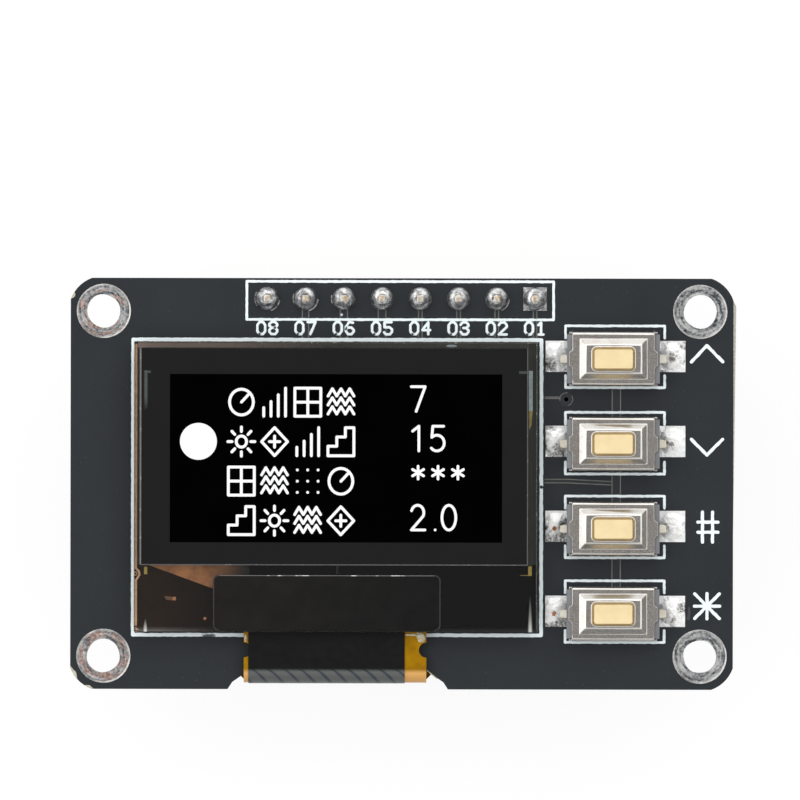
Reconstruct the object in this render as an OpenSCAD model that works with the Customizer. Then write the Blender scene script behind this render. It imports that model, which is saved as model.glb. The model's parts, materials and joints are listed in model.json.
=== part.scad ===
// Small graphic display module: a panel on a black board, with a pin header and four push switches.
// Millimetres. The board lies in XY, its back face is z = 0 and the display looks along +Z.
// The origin is the centre of the four mounting holes.

/* [Board] */
// Board width
board_w = 44; // [43:0.1:48]
// Board height
board_h = 27.3; // [27:0.1:30]
// Board thickness
board_t = 1.2; // [1:0.1:1.6]
// How far the corners' arcs, which are centred on the mounting holes, would reach past the straight edges
corner_over = 0.13; // [0:0.01:0.6]
// Width of the fin left where the board was snapped from its panel
fin_w = 0.2; // [0.05:0.05:0.4]
// Length of that fin
fin_len = 15.9; // [8:0.1:18]
// Gap from the top edge to the fin
fin_top = 1.45; // [1:0.05:3]

/* [Mounting holes] */
// Distance of each hole from the two nearest edges
hole_inset = 2.2; // [2.1:0.05:2.6]
// Free diameter of the plated holes
hole_d = 2.3; // [2:0.05:2.4]
// Outer diameter of the tinned rings
ring_d = 3.6; // [3.2:0.1:3.9]
// Thickness of the tinned rings
ring_t = 0.04; // [0.02:0.01:0.08]
// Wall of the plating inside the holes
plating_t = 0.05; // [0.03:0.01:0.1]

/* [Flex notch] */
// Centre of the notch from the centre of the flex
notch_dx = 0.18; // [0:0.01:0.2]
// Depth of the notch in the bottom edge
notch_depth = 1.65; // [1.4:0.05:1.9]
// Width of the notch at its upper edge
notch_floor_w = 10.6; // [9:0.1:11]
// Width of the notch where its sides turn down
notch_waist_w = 14; // [13.8:0.1:14.3]
// Width of the notch at the board's bottom edge
notch_mouth_w = 14.64; // [14.4:0.01:15.5]
// Height of the steep part of the notch's sides
notch_mouth_h = 0.48; // [0.3:0.01:0.6]

/* [Display panel] */
// Width of the front glass
panel_w = 26.77; // [26:0.01:27]
// Height of the front glass
panel_h = 19.26; // [19:0.02:19.4]
// Centre of the panel and the switch column together, from the board's centre line
group_x = 0.53; // [0:0.01:1]
// Centre of the panel from the board's centre, up
panel_y = -0.2; // [-0.3:0.05:0]
// Thickness of the front glass
glass_t = 0.7; // [0.5:0.05:1]
// Thickness of the cap glass behind it
cap_t = 0.55; // [0.5:0.05:0.7]
// Height of the cap glass, which leaves the ledge free
cap_h = 15.3; // [14.5:0.1:15.8]
// Distance of the cap glass from the edges of the front glass
cap_inset = 0.3; // [0.1:0.05:0.6]
// Depth of the recess in the cap glass
cap_recess = 0.3; // [0.2:0.05:0.35]
// Thickness of the pad that holds the panel on the board
adhesive_t = 0.2; // [0.1:0.05:0.4]
// Distance of that pad from the edges of the cap glass
adhesive_inset = 0.6; // [0.3:0.1:2]

/* [Display layers] */
// Width of the lit layer
active_w = 22; // [21:0.1:22.4]
// Height of the lit layer
active_h = 11.1; // [10.5:0.1:11.4]
// Distance of the lit layer from the top of the front glass
active_top = 2.18; // [1.9:0.02:2.4]
// Thickness of the lit layer
active_t = 0.03; // [0.02:0.01:0.06]
// Room round the lit layer in the cap's recess
active_room = 0.7; // [0.4:0.05:1]
// Thickness of the drying sheet
desiccant_t = 0.12; // [0.05:0.01:0.15]
// Distance of the drying sheet from the recess's walls
desiccant_inset = 1.2; // [0.5:0.1:3]
// Polarizer's distance from the glass on the left
polarizer_left = 0.4; // [0.2:0.01:0.7]
// Polarizer's distance from the glass on the right
polarizer_right = 0.63; // [0.2:0.01:0.8]
// Polarizer's distance from the glass at the top
polarizer_top = 0.43; // [0.2:0.01:0.7]
// Height of the polarizer
polarizer_h = 14.41; // [14:0.01:14.8]
// Thickness of the polarizer
polarizer_t = 0.2; // [0.1:0.05:0.3]

/* [Ledge] */
// Length of the driver chip
chip_l = 6.76; // [5:0.02:9]
// Width of the driver chip
chip_w = 0.86; // [0.7:0.02:1.2]
// Thickness of the driver chip
chip_t = 0.3; // [0.2:0.05:0.4]
// Gap between the cap glass and the driver chip
chip_gap = 0.9; // [0.3:0.05:1.2]
// Width of the light shield tape
tape_w = 15.08; // [14:0.02:16]
// Height of the light shield tape
tape_h = 3.68; // [3.2:0.02:3.7]
// Thickness of the light shield tape
tape_t = 0.1; // [0.05:0.01:0.15]
// Corner radius of the light shield tape
tape_r = 0.38; // [0.1:0.02:0.8]
// Gap from the tape to the bottom of the front glass
tape_gap = 0.09; // [0.05:0.01:0.2]
// Centre of the tape from the panel's centre line
tape_dx = -0.58; // [-0.8:0.01:0]

/* [Flex] */
// Width of the flex at its fold
flex_w = 12.12; // [11.6:0.02:12.3]
// Thickness of the flex
flex_t = 0.1; // [0.06:0.01:0.14]
// Centre of the flex from the panel's centre line
flex_dx = -0.03; // [-0.1:0.01:0.1]
// Length of the flex that is bonded to the ledge
flex_bond = 0.9; // [0.5:0.05:1]
// Gap from the outermost point of the fold to the board's bottom edge
fold_gap = 0.44; // [0.3:0.02:0.5]
// Outer radius of the fold at the front
fold_front_r = 1.065; // [0.9:0.005:1.1]
// Outer radius of the fold at the back
fold_back_r = 0.7; // [0.55:0.01:0.72]
// Radius of the half-round notches in the sides of the flex
flex_nick_r = 0.5; // [0.3:0.02:0.6]
// Distance of those notches below the glass
flex_nick_drop = 1.2; // [1:0.05:1.4]
// Width of the flex's soldered tail
tail_w = 19; // [18.6:0.1:20]
// Distance from the fold's outermost point to where the tail widens
flare_start = 0.21; // [0.15:0.01:0.4]
// Straight length of the tail at its full width
tail_straight = 1.6; // [1.2:0.1:2.2]
// Gap between the board's back and the tail
tail_gap = 0.08; // [0.05:0.01:0.12]
// Thickness of the black cover film
film_t = 0.05; // [0.03:0.01:0.08]
// Width of the black cover film
film_w = 10.38; // [9:0.02:10.8]
// Centre of the cover film from the centre of the flex
film_dx = -0.57; // [-0.6:0.01:0]
// Length of the cover film on the back
film_back = 1.2; // [0.4:0.1:2]
// Number of soldered contacts
contact_count = 30; // [20:1:30]
// Pitch of the soldered contacts
contact_pitch = 0.62; // [0.5:0.01:0.62]
// Width of a soldered contact
contact_w = 0.34; // [0.2:0.02:0.4]
// Length of a soldered contact under the tail
contact_l = 1.3; // [0.8:0.1:1.5]
// Length of a soldered contact beyond the tail
contact_toe = 0.55; // [0.3:0.05:0.9]
// Height of the solder beyond the tail
contact_h = 0.22; // [0.1:0.02:0.3]

/* [Header] */
// Number of pins
pin_count = 8; // [4:1:8]
// Pin pitch
pin_pitch = 2.54; // [2:0.01:2.54]
// Side of a square pin
pin_side = 0.64; // [0.5:0.02:0.7]
// Distance of the pin row from the board's top edge
header_inset = 1.36; // [1.3:0.02:1.7]
// Centre of the pin row from the board's centre line
header_x = -0.06; // [-0.2:0.02:0.2]
// Width of the insulator
strip_w = 2.5; // [2.2:0.02:2.6]
// Height of the insulator
strip_h = 2.54; // [2:0.02:3]
// Chamfer between the insulator's segments
strip_chamfer = 0.42; // [0.2:0.02:0.6]
// Free length of the pins beyond the insulator
pin_free = 6; // [3:0.1:9]
// Length of the pins' solder ends above the board's front
pin_end = 1.08; // [0.9:0.02:1.4]
// Length of the pins' pointed tips
pin_tip = 0.3; // [0.1:0.05:0.5]
// Side of the flat at the pins' tips
pin_flat = 0.34; // [0.2:0.02:0.48]
// Diameter of the board's pin holes
pin_hole_d = 1; // [1:0.02:1.2]
// Diameter of the solder lands
land_d = 1.55; // [1.4:0.01:1.8]
// Thickness of the solder lands
land_t = 0.05; // [0.03:0.01:0.08]
// Height of the solder domes
dome_h = 0.92; // [0.7:0.02:1]
// Radius of the solder domes' rounded sides
dome_side_r = 1.2; // [1:0.05:2]

/* [Switch column] */
// Number of switches
switch_count = 4; // [1:1:4]
// Pitch of the switches
switch_pitch = 5.64; // [5:0.01:5.8]
// Gap between the front glass and the switches' lands
column_gap = 0.53; // [0.4:0.01:1]
// Height of the column's centre from the board's centre
switch_y = -0.15; // [-0.3:0.01:0.3]

/* [Switch base] */
// Length of the base
base_l = 6.15; // [6:0.01:6.4]
// Height of the base
base_h = 1.25; // [1.15:0.01:1.4]
// Length of the contact well
well_l = 3.5; // [3.4:0.02:3.8]
// Width of the contact well
well_w = 1.9; // [1.8:0.02:2.1]
// Thickness of the base under the well
well_floor = 0.45; // [0.35:0.01:0.5]
// Width of a terminal
terminal_w = 0.56; // [0.4:0.02:0.7]
// Thickness of a terminal
terminal_t = 0.15; // [0.1:0.01:0.2]
// Length of a terminal beyond the base
terminal_reach = 0.42; // [0.2:0.02:0.6]
// Width of a contact stud
stud_l = 0.5; // [0.4:0.02:0.6]

/* [Switch cover] */
// Length of the cover
cover_l = 5.46; // [5.3:0.01:5.5]
// Width of the cover
cover_w = 3.6; // [3.56:0.01:3.7]
// Sheet thickness of the cover
cover_t = 0.15; // [0.12:0.01:0.18]
// Outer bend radius of the cover's skirts
cover_bend_r = 0.24; // [0.2:0.01:0.3]
// Height of the cover's skirts
skirt_h = 0.85; // [0.5:0.01:1]
// How far the lugs at the skirts' lower corners reach past the cover's ends
lug_reach = 0.2; // [0.1:0.01:0.3]
// Height of those lugs
lug_h = 0.35; // [0.2:0.01:0.5]
// Length across the cover's flat end tongues
tongue_span = 5.88; // [5.8:0.01:5.96]
// Width of the end tongues
tongue_w = 0.98; // [0.7:0.02:1.1]
// Size of the slanted corners where the end tongues leave the cover's rim
tongue_corner = 0.13; // [0.05:0.01:0.16]
// Length of the plateau at its foot
plateau_l = 4.5; // [4.45:0.01:4.6]
// Width of the plateau at its foot
plateau_w = 2.71; // [2.68:0.01:2.8]
// Rise of the plateau above the cover's rim
plateau_h = 0.38; // [0.34:0.01:0.42]
// How far the plateau's ends slope in
plateau_slope_l = 0.42; // [0.4:0.01:0.45]
// How far the plateau's sides slope in
plateau_slope_w = 0.42; // [0.4:0.01:0.45]
// Radius of the bend at the plateau's foot
foot_r = 0.18; // [0.1:0.01:0.25]
// Outer radius of the plateau's shoulder
shoulder_r = 0.32; // [0.2:0.01:0.4]

/* [Switch plunger] */
// Length of the plunger
plunger_l = 2.52; // [2.4:0.01:2.6]
// Width of the plunger
plunger_w = 1.25; // [1.15:0.01:1.3]
// Height of the plunger above the plateau
plunger_rise = 0.67; // [0.4:0.01:0.8]
// Corner radius of the plunger
plunger_r = 0.14; // [0.08:0.01:0.25]
// Clearance between the plunger and its hole
plunger_clear = 0.13; // [0.08:0.01:0.15]
// Height of the plunger's flange
flange_h = 0.25; // [0.2:0.01:0.28]
// How far the flange reaches past the plunger's ends
flange_reach_l = 0.34; // [0.25:0.01:0.36]
// How far the flange reaches past the plunger's sides
flange_reach_w = 0.18; // [0.17:0.01:0.2]
// Diameter of the nub that presses the dome
nub_d = 0.9; // [0.6:0.02:1.1]
// Free play between the moving pieces
play = 0.02; // [0.01:0.005:0.03]
// Length of the snap dome
snap_l = 2.9; // [2.6:0.02:3]
// Width of the snap dome
snap_w = 1.7; // [1.5:0.02:1.75]
// Height of the snap dome
snap_h = 0.42; // [0.38:0.01:0.45]
// Sheet thickness of the snap dome
snap_t = 0.06; // [0.04:0.01:0.08]

/* [Switch lands] */
// Length across both lands of a switch
lands_span = 9.29; // [9:0.01:9.5]
// Length of a land
switch_land_l = 1.75; // [1.7:0.01:1.9]
// Width of a land
switch_land_w = 2.07; // [1.8:0.01:2.3]
// How far the lands lie to the right of the switch
lands_dx = 0.15; // [0:0.01:0.2]
// How far the lands lie above the switch
lands_dy = 0.17; // [0:0.01:0.25]
// Height of the solder on a land
solder_h = 0.25; // [0.2:0.01:0.35]
// Radius of the solder's rounded top
solder_r = 1.8; // [1.4:0.05:2.5]

/* [Back components] */
// Number of chip capacitors
capacitor_count = 4; // [1:1:4]
// Pitch of the chip capacitors
capacitor_pitch = 3.4; // [2.6:0.1:4]
// Centre of the capacitor row from the flex's centre line
capacitor_dx = 0; // [-2:0.1:2]
// Gap from the tail's contacts to the middle of the capacitor row
capacitor_dy = 2; // [1.6:0.1:3]
// Height of a chip capacitor
capacitor_h = 0.8; // [0.5:0.05:0.9]
// Number of chip resistors
resistor_count = 4; // [1:1:4]
// Gap from the insulator to the middle of the resistor row
resistor_dy = 2.4; // [1.8:0.1:3]
// Height of a chip resistor
resistor_h = 0.45; // [0.3:0.05:0.6]
// Length of a chip part
chip_part_l = 1.6; // [1.2:0.05:1.8]
// Width of a chip part
chip_part_w = 0.8; // [0.6:0.05:1]
// Length of a chip part's metal ends
chip_end_l = 0.32; // [0.2:0.02:0.4]
// How far the metal ends stand proud of the ceramic
chip_end_lip = 0.02; // [0.01:0.01:0.04]
// Reach of the solder beyond a chip part
fillet_l = 0.35; // [0.2:0.05:0.5]
// Height of the solder at a chip part's ends
fillet_h = 0.42; // [0.2:0.02:0.45]
// Length of the regulator's body
regulator_l = 2.92; // [2.7:0.02:3.1]
// Width of the regulator's body
regulator_w = 1.3; // [1.2:0.02:1.5]
// Height of the regulator's body
regulator_h = 1; // [0.8:0.02:1.1]
// Gap under the regulator's body
regulator_gap = 0.08; // [0.05:0.01:0.12]
// Draft of the regulator's moulded sides
regulator_draft = 0.08; // [0.04:0.01:0.12]
// Pitch of the regulator's outer leads
lead_pitch = 1.9; // [1.6:0.02:2]
// Width of a lead
lead_w = 0.4; // [0.3:0.02:0.5]
// Thickness of a lead
lead_t = 0.12; // [0.08:0.01:0.15]
// Reach of a lead beyond the body
lead_reach = 0.55; // [0.45:0.01:0.7]
// Length of a lead's foot
lead_foot = 0.3; // [0.2:0.02:0.35]
// Width of the land under a lead
lead_land_w = 0.6; // [0.5:0.02:0.8]
// Regulator's distance from the left edge of the board
regulator_left = 8; // [6:0.1:12]
// Regulator's distance from the top edge of the board
regulator_top = 6; // [5:0.1:9]

/* [Hidden] */
$fn = 48;
// Overlap that keeps cuts clean
cut = 0.1;
// Radial gap between a round piece and the hole that it fills
seat = 0.01;

// Heights
cap_z = board_t + adhesive_t;
glass_z = cap_z + cap_t;
glass_front_z = glass_z + glass_t;

// Panel, with the switch column beside it
group_w = panel_w + column_gap + lands_span;
panel_x = group_x - group_w / 2 + panel_w / 2;
panel_top = panel_y + panel_h / 2;
panel_bottom = panel_y - panel_h / 2;
panel_left = panel_x - panel_w / 2;
cap_w = panel_w - 2 * cap_inset;
cap_top = panel_top - cap_inset;
cap_bottom = cap_top - cap_h;
active_y = panel_top - active_top - active_h / 2;
recess_w = active_w + 2 * active_room;
recess_h = active_h + 2 * active_room;
polarizer_w = panel_w - polarizer_left - polarizer_right;

// Flex
flex_x = panel_x + flex_dx;
notch_x = flex_x + notch_dx;
fold_y = fold_gap - board_h / 2;
front_arc = [fold_y + fold_front_r, glass_z - fold_front_r];
tail_out_z = -tail_gap - flex_t;
back_arc = [fold_y + fold_back_r, tail_out_z + fold_back_r];
fold_mid_z = (front_arc.y + back_arc.y) / 2;
flare = (tail_w - flex_w) / 2;
tail_wide_y = fold_y + flare_start + flare;
tail_end_y = tail_wide_y + tail_straight;
contact_end_y = tail_end_y + contact_toe;

// Header
header_y = board_h / 2 - header_inset;
pin_low = -strip_h - pin_free;
pin_high = board_t + pin_end;

// Switches, with heights above the board's front face
switch_x = group_x + group_w / 2 - lands_span / 2 - lands_dx;
base_top = land_t + base_h;
well_z = land_t + well_floor;
rim_top = base_top + cover_t;
plateau_top = rim_top + plateau_h;
plateau_under = plateau_top - cover_t;
plunger_top = plateau_top + plunger_rise;
flange_top = plateau_under - play;
nub_low = well_z + snap_h + play;
base_w = cover_w - 2 * cover_t - 2 * play;
land_edge = lands_span / 2;

// Back components
capacitor_y = contact_end_y + capacitor_dy;
resistor_y = header_y - strip_w / 2 - resistor_dy;
regulator_x = regulator_left - board_w / 2;
regulator_y = board_h / 2 - regulator_top;

// Shared shapes

// Flat rectangle with round corners
module round_rect(w, h, r) {
    square([w - 2 * r, h], center = true);
    square([w, h - 2 * r], center = true);
    for (x = [-1, 1], y = [-1, 1])
        translate([x * (w / 2 - r), y * (h / 2 - r)]) circle(r);
}

// Box centred in X and Y, standing on z = 0
module slab(l, w, h) {
    translate([-l / 2, -w / 2, 0]) cube([l, w, h]);
}

// A profile drawn in Y and Z, drawn out along X
module along_x(length) {
    rotate([90, 0, 90]) linear_extrude(length, center = true) children();
}

// A profile drawn in X and Z, drawn out along Y
module along_y(length) {
    rotate([90, 0, 0]) linear_extrude(length, center = true) children();
}

// Block with sloping sides, from one rectangle up to another
module frustum(l, w, top_l, top_w, h) {
    intersection() {
        along_y(max(w, top_w) + cut) polygon([[-l / 2, 0], [l / 2, 0], [top_l / 2, h], [-top_l / 2, h]]);
        along_x(max(l, top_l) + cut) polygon([[-w / 2, 0], [w / 2, 0], [top_w / 2, h], [-top_w / 2, h]]);
    }
}

// Children at each mounting hole
module at_holes() {
    for (x = [-1, 1], y = [-1, 1])
        translate([x * (board_w / 2 - hole_inset), y * (board_h / 2 - hole_inset), 0]) children();
}

function pin_x(n) = header_x + (n - (pin_count + 1) / 2) * pin_pitch;

// Children at the n-th switch, standing on the board's front face
module at_switch(n) {
    translate([switch_x, switch_y + ((switch_count + 1) / 2 - n) * switch_pitch, board_t]) children();
}

// Children on the board's back face, turned to stand away from it
module on_back(x, y) {
    translate([x, y, 0]) rotate([180, 0, 0]) children();
}

// Board

module notch_outline() {
    mouth_y = -board_h / 2;
    waist_y = mouth_y + notch_mouth_h;
    translate([notch_x, 0]) polygon([
        [-notch_floor_w / 2, mouth_y + notch_depth],
        [notch_floor_w / 2, mouth_y + notch_depth],
        [notch_waist_w / 2, waist_y],
        [notch_mouth_w / 2, mouth_y],
        [notch_mouth_w / 2, mouth_y - cut],
        [-notch_mouth_w / 2, mouth_y - cut],
        [-notch_mouth_w / 2, mouth_y],
        [-notch_waist_w / 2, waist_y]
    ]);
}

// Web of the snapped score line: it starts blunt and runs out to nothing
module score_fin() {
    edge_x = board_w / 2;
    start_y = board_h / 2 - fin_top;
    translate([0, 0, board_t / 4]) linear_extrude(board_t / 2) polygon([
        [edge_x - cut, start_y],
        [edge_x, start_y],
        [edge_x + fin_w, start_y - 2 * fin_w],
        [edge_x, start_y - fin_len],
        [edge_x - cut, start_y - fin_len]
    ]);
}

module board_outline() {
    intersection() {
        square([board_w, board_h], center = true);
        union() {
            square([board_w - 2 * hole_inset, board_h], center = true);
            square([board_w, board_h - 2 * hole_inset], center = true);
            at_holes() circle(hole_inset + corner_over);
        }
    }
}

module circuit_board() {
    color([0.15, 0.17, 0.19]) difference() {
        union() {
            linear_extrude(board_t) difference() {
                board_outline();
                notch_outline();
            }
            score_fin();
        }
        at_holes() translate([0, 0, -cut]) cylinder(d = hole_d + 2 * plating_t + 2 * seat, h = board_t + 2 * cut);
        for (n = [1 : pin_count])
            translate([pin_x(n), header_y, -cut]) cylinder(d = pin_hole_d, h = board_t + 2 * cut);
    }
}

module mounting_hole_pads() {
    color("silver") at_holes() difference() {
        union() {
            translate([0, 0, board_t]) cylinder(d = ring_d, h = ring_t);
            translate([0, 0, -ring_t]) cylinder(d = ring_d, h = ring_t);
            cylinder(d = hole_d + 2 * plating_t, h = board_t);
        }
        translate([0, 0, -ring_t - cut]) cylinder(d = hole_d, h = board_t + 2 * ring_t + 2 * cut);
    }
}

// Header

module header_strip() {
    half_p = pin_pitch / 2;
    half_w = strip_w / 2;
    c = strip_chamfer;
    color([0.08, 0.08, 0.08]) difference() {
        for (n = [1 : pin_count])
            translate([pin_x(n), header_y, -strip_h]) linear_extrude(strip_h) polygon([
                [-half_p, c - half_w], [c - half_p, -half_w], [half_p - c, -half_w], [half_p, c - half_w],
                [half_p, half_w - c], [half_p - c, half_w], [c - half_p, half_w], [-half_p, half_w - c]
            ]);
        for (n = [1 : pin_count])
            translate([pin_x(n), header_y, -strip_h - cut]) slab(pin_side, pin_side, strip_h + 2 * cut);
    }
}

// One side view of a pin, pointed at both ends
module pin_profile() {
    s = pin_side / 2;
    f = pin_flat / 2;
    polygon([
        [-f, pin_low], [f, pin_low], [s, pin_low + pin_tip], [s, pin_high - pin_tip],
        [f, pin_high], [-f, pin_high], [-s, pin_high - pin_tip], [-s, pin_low + pin_tip]
    ]);
}

// Square pin with pointed ends, on the axis of the origin
module pin_body() {
    intersection() {
        along_y(pin_side) pin_profile();
        along_x(pin_side) pin_profile();
    }
}

module header_pin(n) {
    color("goldenrod") translate([pin_x(n), header_y, 0]) pin_body();
}

// Solder of one pin: a plug in the hole, a land and a rounded cone up the pin
module pin_joint(n) {
    translate([pin_x(n), header_y, 0]) difference() {
        union() {
            cylinder(d = pin_hole_d - 2 * seat, h = board_t + land_t);
            translate([0, 0, board_t]) {
                if (n == pin_count) slab(land_d, land_d, land_t);
                else cylinder(d = land_d, h = land_t);
            }
            translate([0, 0, board_t + land_t]) rotate_extrude() intersection() {
                translate([land_d / 2 - dome_side_r, 0]) circle(dome_side_r);
                square([land_d / 2, dome_h]);
            }
        }
        pin_body();
    }
}

module header_solder() {
    color("lightgray") for (n = [1 : pin_count]) pin_joint(n);
}

// Switches

// Children at both ends of a switch, turned so that +X points outwards
module at_both_ends() {
    for (turn = [0, 180]) rotate([0, 0, turn]) children();
}

// Both terminals as plain bars: a tab outside, a strip under the well and a contact stud up to its floor
module terminal_bars() {
    outer = base_l / 2 + terminal_reach;
    rim_stud = snap_l / 2;
    translate([0, -terminal_w / 2, land_t]) {
        translate([-outer, 0, 0]) cube([outer - rim_stud + stud_l, terminal_w, terminal_t]);
        translate([-rim_stud, 0, 0]) cube([stud_l, terminal_w, well_floor]);
        translate([-stud_l / 2, 0, 0]) cube([outer + stud_l / 2, terminal_w, terminal_t]);
        translate([-stud_l / 2, 0, 0]) cube([stud_l, terminal_w, well_floor]);
    }
}

module switch_base(n) {
    color([0.3, 0.3, 0.31]) at_switch(n) difference() {
        translate([0, 0, land_t]) slab(base_l, base_w, base_h);
        translate([0, 0, well_z]) linear_extrude(base_h) round_rect(well_l, well_w, plunger_r);
        terminal_bars();
    }
}

module switch_terminals(n) {
    color("gainsboro") at_switch(n) terminal_bars();
}

// Snap disc: a shallow spherical cap trimmed to a strip
module switch_dome(n) {
    dome_r = (pow(snap_l / 2, 2) + pow(snap_h, 2)) / (2 * snap_h);
    color("lightgray") at_switch(n) translate([0, 0, well_z]) intersection() {
        translate([0, 0, snap_h - dome_r]) rotate([90, 0, 0]) difference() {
            sphere(dome_r);
            sphere(dome_r - snap_t);
        }
        slab(snap_l, snap_w, snap_h + cut);
    }
}

module switch_plunger(n) {
    color([0.95, 0.88, 0.68]) at_switch(n) union() {
        translate([0, 0, flange_top - flange_h])
            linear_extrude(plunger_top - flange_top + flange_h) round_rect(plunger_l, plunger_w, plunger_r);
        translate([0, 0, flange_top - flange_h])
            slab(plunger_l + 2 * flange_reach_l, plunger_w + 2 * flange_reach_w, flange_h);
        translate([0, 0, nub_low]) cylinder(d = nub_d, h = flange_top - nub_low);
    }
}

// Bent sheet seen from its end: a flat top with two legs and round bends
module channel_profile(span, legs) {
    difference() {
        channel_outline(span, legs, cover_bend_r);
        translate([0, -cover_t]) channel_outline(span - 2 * cover_t, legs, cover_bend_r - cover_t);
    }
}

// Outline with its top at zero and two round upper corners
module channel_outline(span, legs, r) {
    translate([-span / 2, -legs]) square([span, legs - r]);
    translate([r - span / 2, -legs]) square([span - 2 * r, legs]);
    for (side = [-1, 1]) translate([side * (span / 2 - r), -r]) circle(r);
}

// Size of the plateau's hollow at the base: its sloping walls are one sheet thick
function inner_foot(foot, slope) = foot - 2 * cover_t * tan(atan2(plateau_h, slope) / 2);

// Section of the plateau: sloping sides with a round foot and a round shoulder
module plateau_section(foot, slope, low_r, high_r) {
    angle = atan2(plateau_h, slope);
    downhill = [cos(angle), -sin(angle)];
    low_run = low_r * tan(angle / 2);
    high_run = high_r * tan(angle / 2);
    shoulder = [foot / 2 - slope, plateau_h];
    right = [
        [foot / 2 + low_run, 0],
        [foot / 2, 0] - low_run * downhill,
        shoulder + high_run * downhill,
        shoulder - [high_run, 0]
    ];
    left = [for (i = [3 : -1 : 0]) [-right[i].x, right[i].y]];
    difference() {
        polygon(concat(right, left));
        for (side = [-1, 1]) translate([side * right[0].x, low_r]) circle(low_r);
    }
    intersection() {
        for (side = [-1, 1]) translate([side * right[3].x, plateau_h - high_r]) circle(high_r);
        translate([-foot / 2, 0]) square([foot, plateau_h]);
    }
}

// Solid inside the drawn plateau's outer face, or inside its inner face
module plateau(foot_l, foot_w, low_r, high_r) {
    intersection() {
        along_y(2 * cover_w) plateau_section(foot_l, plateau_slope_l, low_r, high_r);
        along_x(2 * cover_l) plateau_section(foot_w, plateau_slope_w, low_r, high_r);
    }
}

// Plan of the flat end tongues, with slanted corners at the rim
module tongue_plan() {
    half = tongue_w / 2;
    wide = half + tongue_corner;
    rim = cover_l / 2;
    tip = tongue_span / 2;
    polygon([
        [-tip, -half], [-rim - tongue_corner, -half], [-rim, -wide], [rim, -wide],
        [rim + tongue_corner, -half], [tip, -half], [tip, half], [rim + tongue_corner, half],
        [rim, wide], [-rim, wide], [-rim - tongue_corner, half], [-tip, half]
    ]);
}

module switch_cover(n) {
    inner_l = inner_foot(plateau_l, plateau_slope_l);
    inner_w = inner_foot(plateau_w, plateau_slope_w);
    skirt_mid = (cover_w - cover_t) / 2;
    color("silver") at_switch(n) difference() {
        union() {
            translate([0, 0, rim_top]) along_x(cover_l) channel_profile(cover_w, skirt_h);
            for (side = [-1, 1])
                translate([0, side * skirt_mid, rim_top - skirt_h]) slab(cover_l + 2 * lug_reach, cover_t, lug_h);
            translate([0, 0, base_top]) linear_extrude(cover_t) tongue_plan();
            translate([0, 0, rim_top]) plateau(plateau_l, plateau_w, foot_r, shoulder_r);
        }
        translate([0, 0, base_top]) plateau(inner_l, inner_w, foot_r + cover_t, shoulder_r - cover_t);
        translate([0, 0, base_top]) linear_extrude(plateau_h + cover_t + cut) round_rect(
            plunger_l + 2 * plunger_clear, plunger_w + 2 * plunger_clear, plunger_r + plunger_clear);
    }
}

// Both lands of a switch, each with a cap of solder round its terminal
module switch_solder(n) {
    from_x = base_l / 2 + play;
    color("gainsboro") at_switch(n) difference() {
        for (side = [-1, 1]) translate([lands_dx, lands_dy, 0]) {
            near_x = from_x - side * lands_dx;
            mid_x = (near_x + land_edge) / 2;
            translate([side * (land_edge - switch_land_l / 2), 0, 0]) slab(switch_land_l, switch_land_w, land_t);
            intersection() {
                translate([side * mid_x, 0, solder_h + land_t - solder_r]) sphere(solder_r);
                translate([side * mid_x, 0, land_t]) slab(land_edge - near_x, switch_land_w, solder_h);
            }
        }
        terminal_bars();
    }
}

// Display panel

module front_glass() {
    color([0.2, 0.18, 0.17]) translate([panel_x, panel_y, glass_z]) slab(panel_w, panel_h, glass_t);
}

module polarizer_film() {
    color([0.13, 0.13, 0.14])
        translate([panel_left + polarizer_left, panel_top - polarizer_top - polarizer_h, glass_front_z])
            cube([polarizer_w, polarizer_h, polarizer_t]);
}

module cap_glass() {
    color([0.5, 0.52, 0.52]) difference() {
        translate([panel_x - cap_w / 2, cap_bottom, cap_z]) cube([cap_w, cap_h, cap_t]);
        translate([panel_x, active_y, glass_z - cap_recess]) slab(recess_w, recess_h, cap_recess + cut);
    }
}

module emitter_film() {
    color("black") translate([panel_x, active_y, glass_z - active_t]) slab(active_w, active_h, active_t);
}

module desiccant_sheet() {
    inset = 2 * desiccant_inset;
    color("white") translate([panel_x, active_y, glass_z - cap_recess])
        slab(recess_w - inset, recess_h - inset, desiccant_t);
}

module driver_chip() {
    color([0.25, 0.25, 0.28]) translate([panel_x, cap_bottom - chip_gap - chip_w / 2, glass_z - chip_t])
        slab(chip_l, chip_w, chip_t);
}

module light_shield_tape() {
    color([0.14, 0.14, 0.14])
        translate([panel_x + tape_dx, panel_bottom + tape_gap + tape_h / 2, glass_front_z])
            linear_extrude(tape_t) round_rect(tape_w, tape_h, tape_r);
}

module adhesive_pad() {
    inset = adhesive_inset;
    color("white") translate([panel_x - cap_w / 2 + inset, cap_bottom + inset, board_t])
        cube([cap_w - 2 * inset, cap_h - 2 * inset, adhesive_t]);
}

// Flex

// Quarter of a bent band, bulging towards -Y and up (towards = 1) or down (towards = -1)
module band_arc(centre, r, t, towards) {
    translate(centre) intersection() {
        difference() {
            circle(r);
            circle(r - t);
        }
        translate([-r - cut, towards > 0 ? 0 : -r - cut]) square([r + cut, r + cut]);
    }
}

// Front half of a band that follows the fold: grow is its outer face's height over the flex
module band_front(grow, t, end_y) {
    translate([front_arc.x, glass_z + grow - t]) square([end_y - front_arc.x, t]);
    band_arc(front_arc, fold_front_r + grow, t, 1);
    translate([fold_y - grow, fold_mid_z]) square([t, front_arc.y - fold_mid_z]);
}

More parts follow.
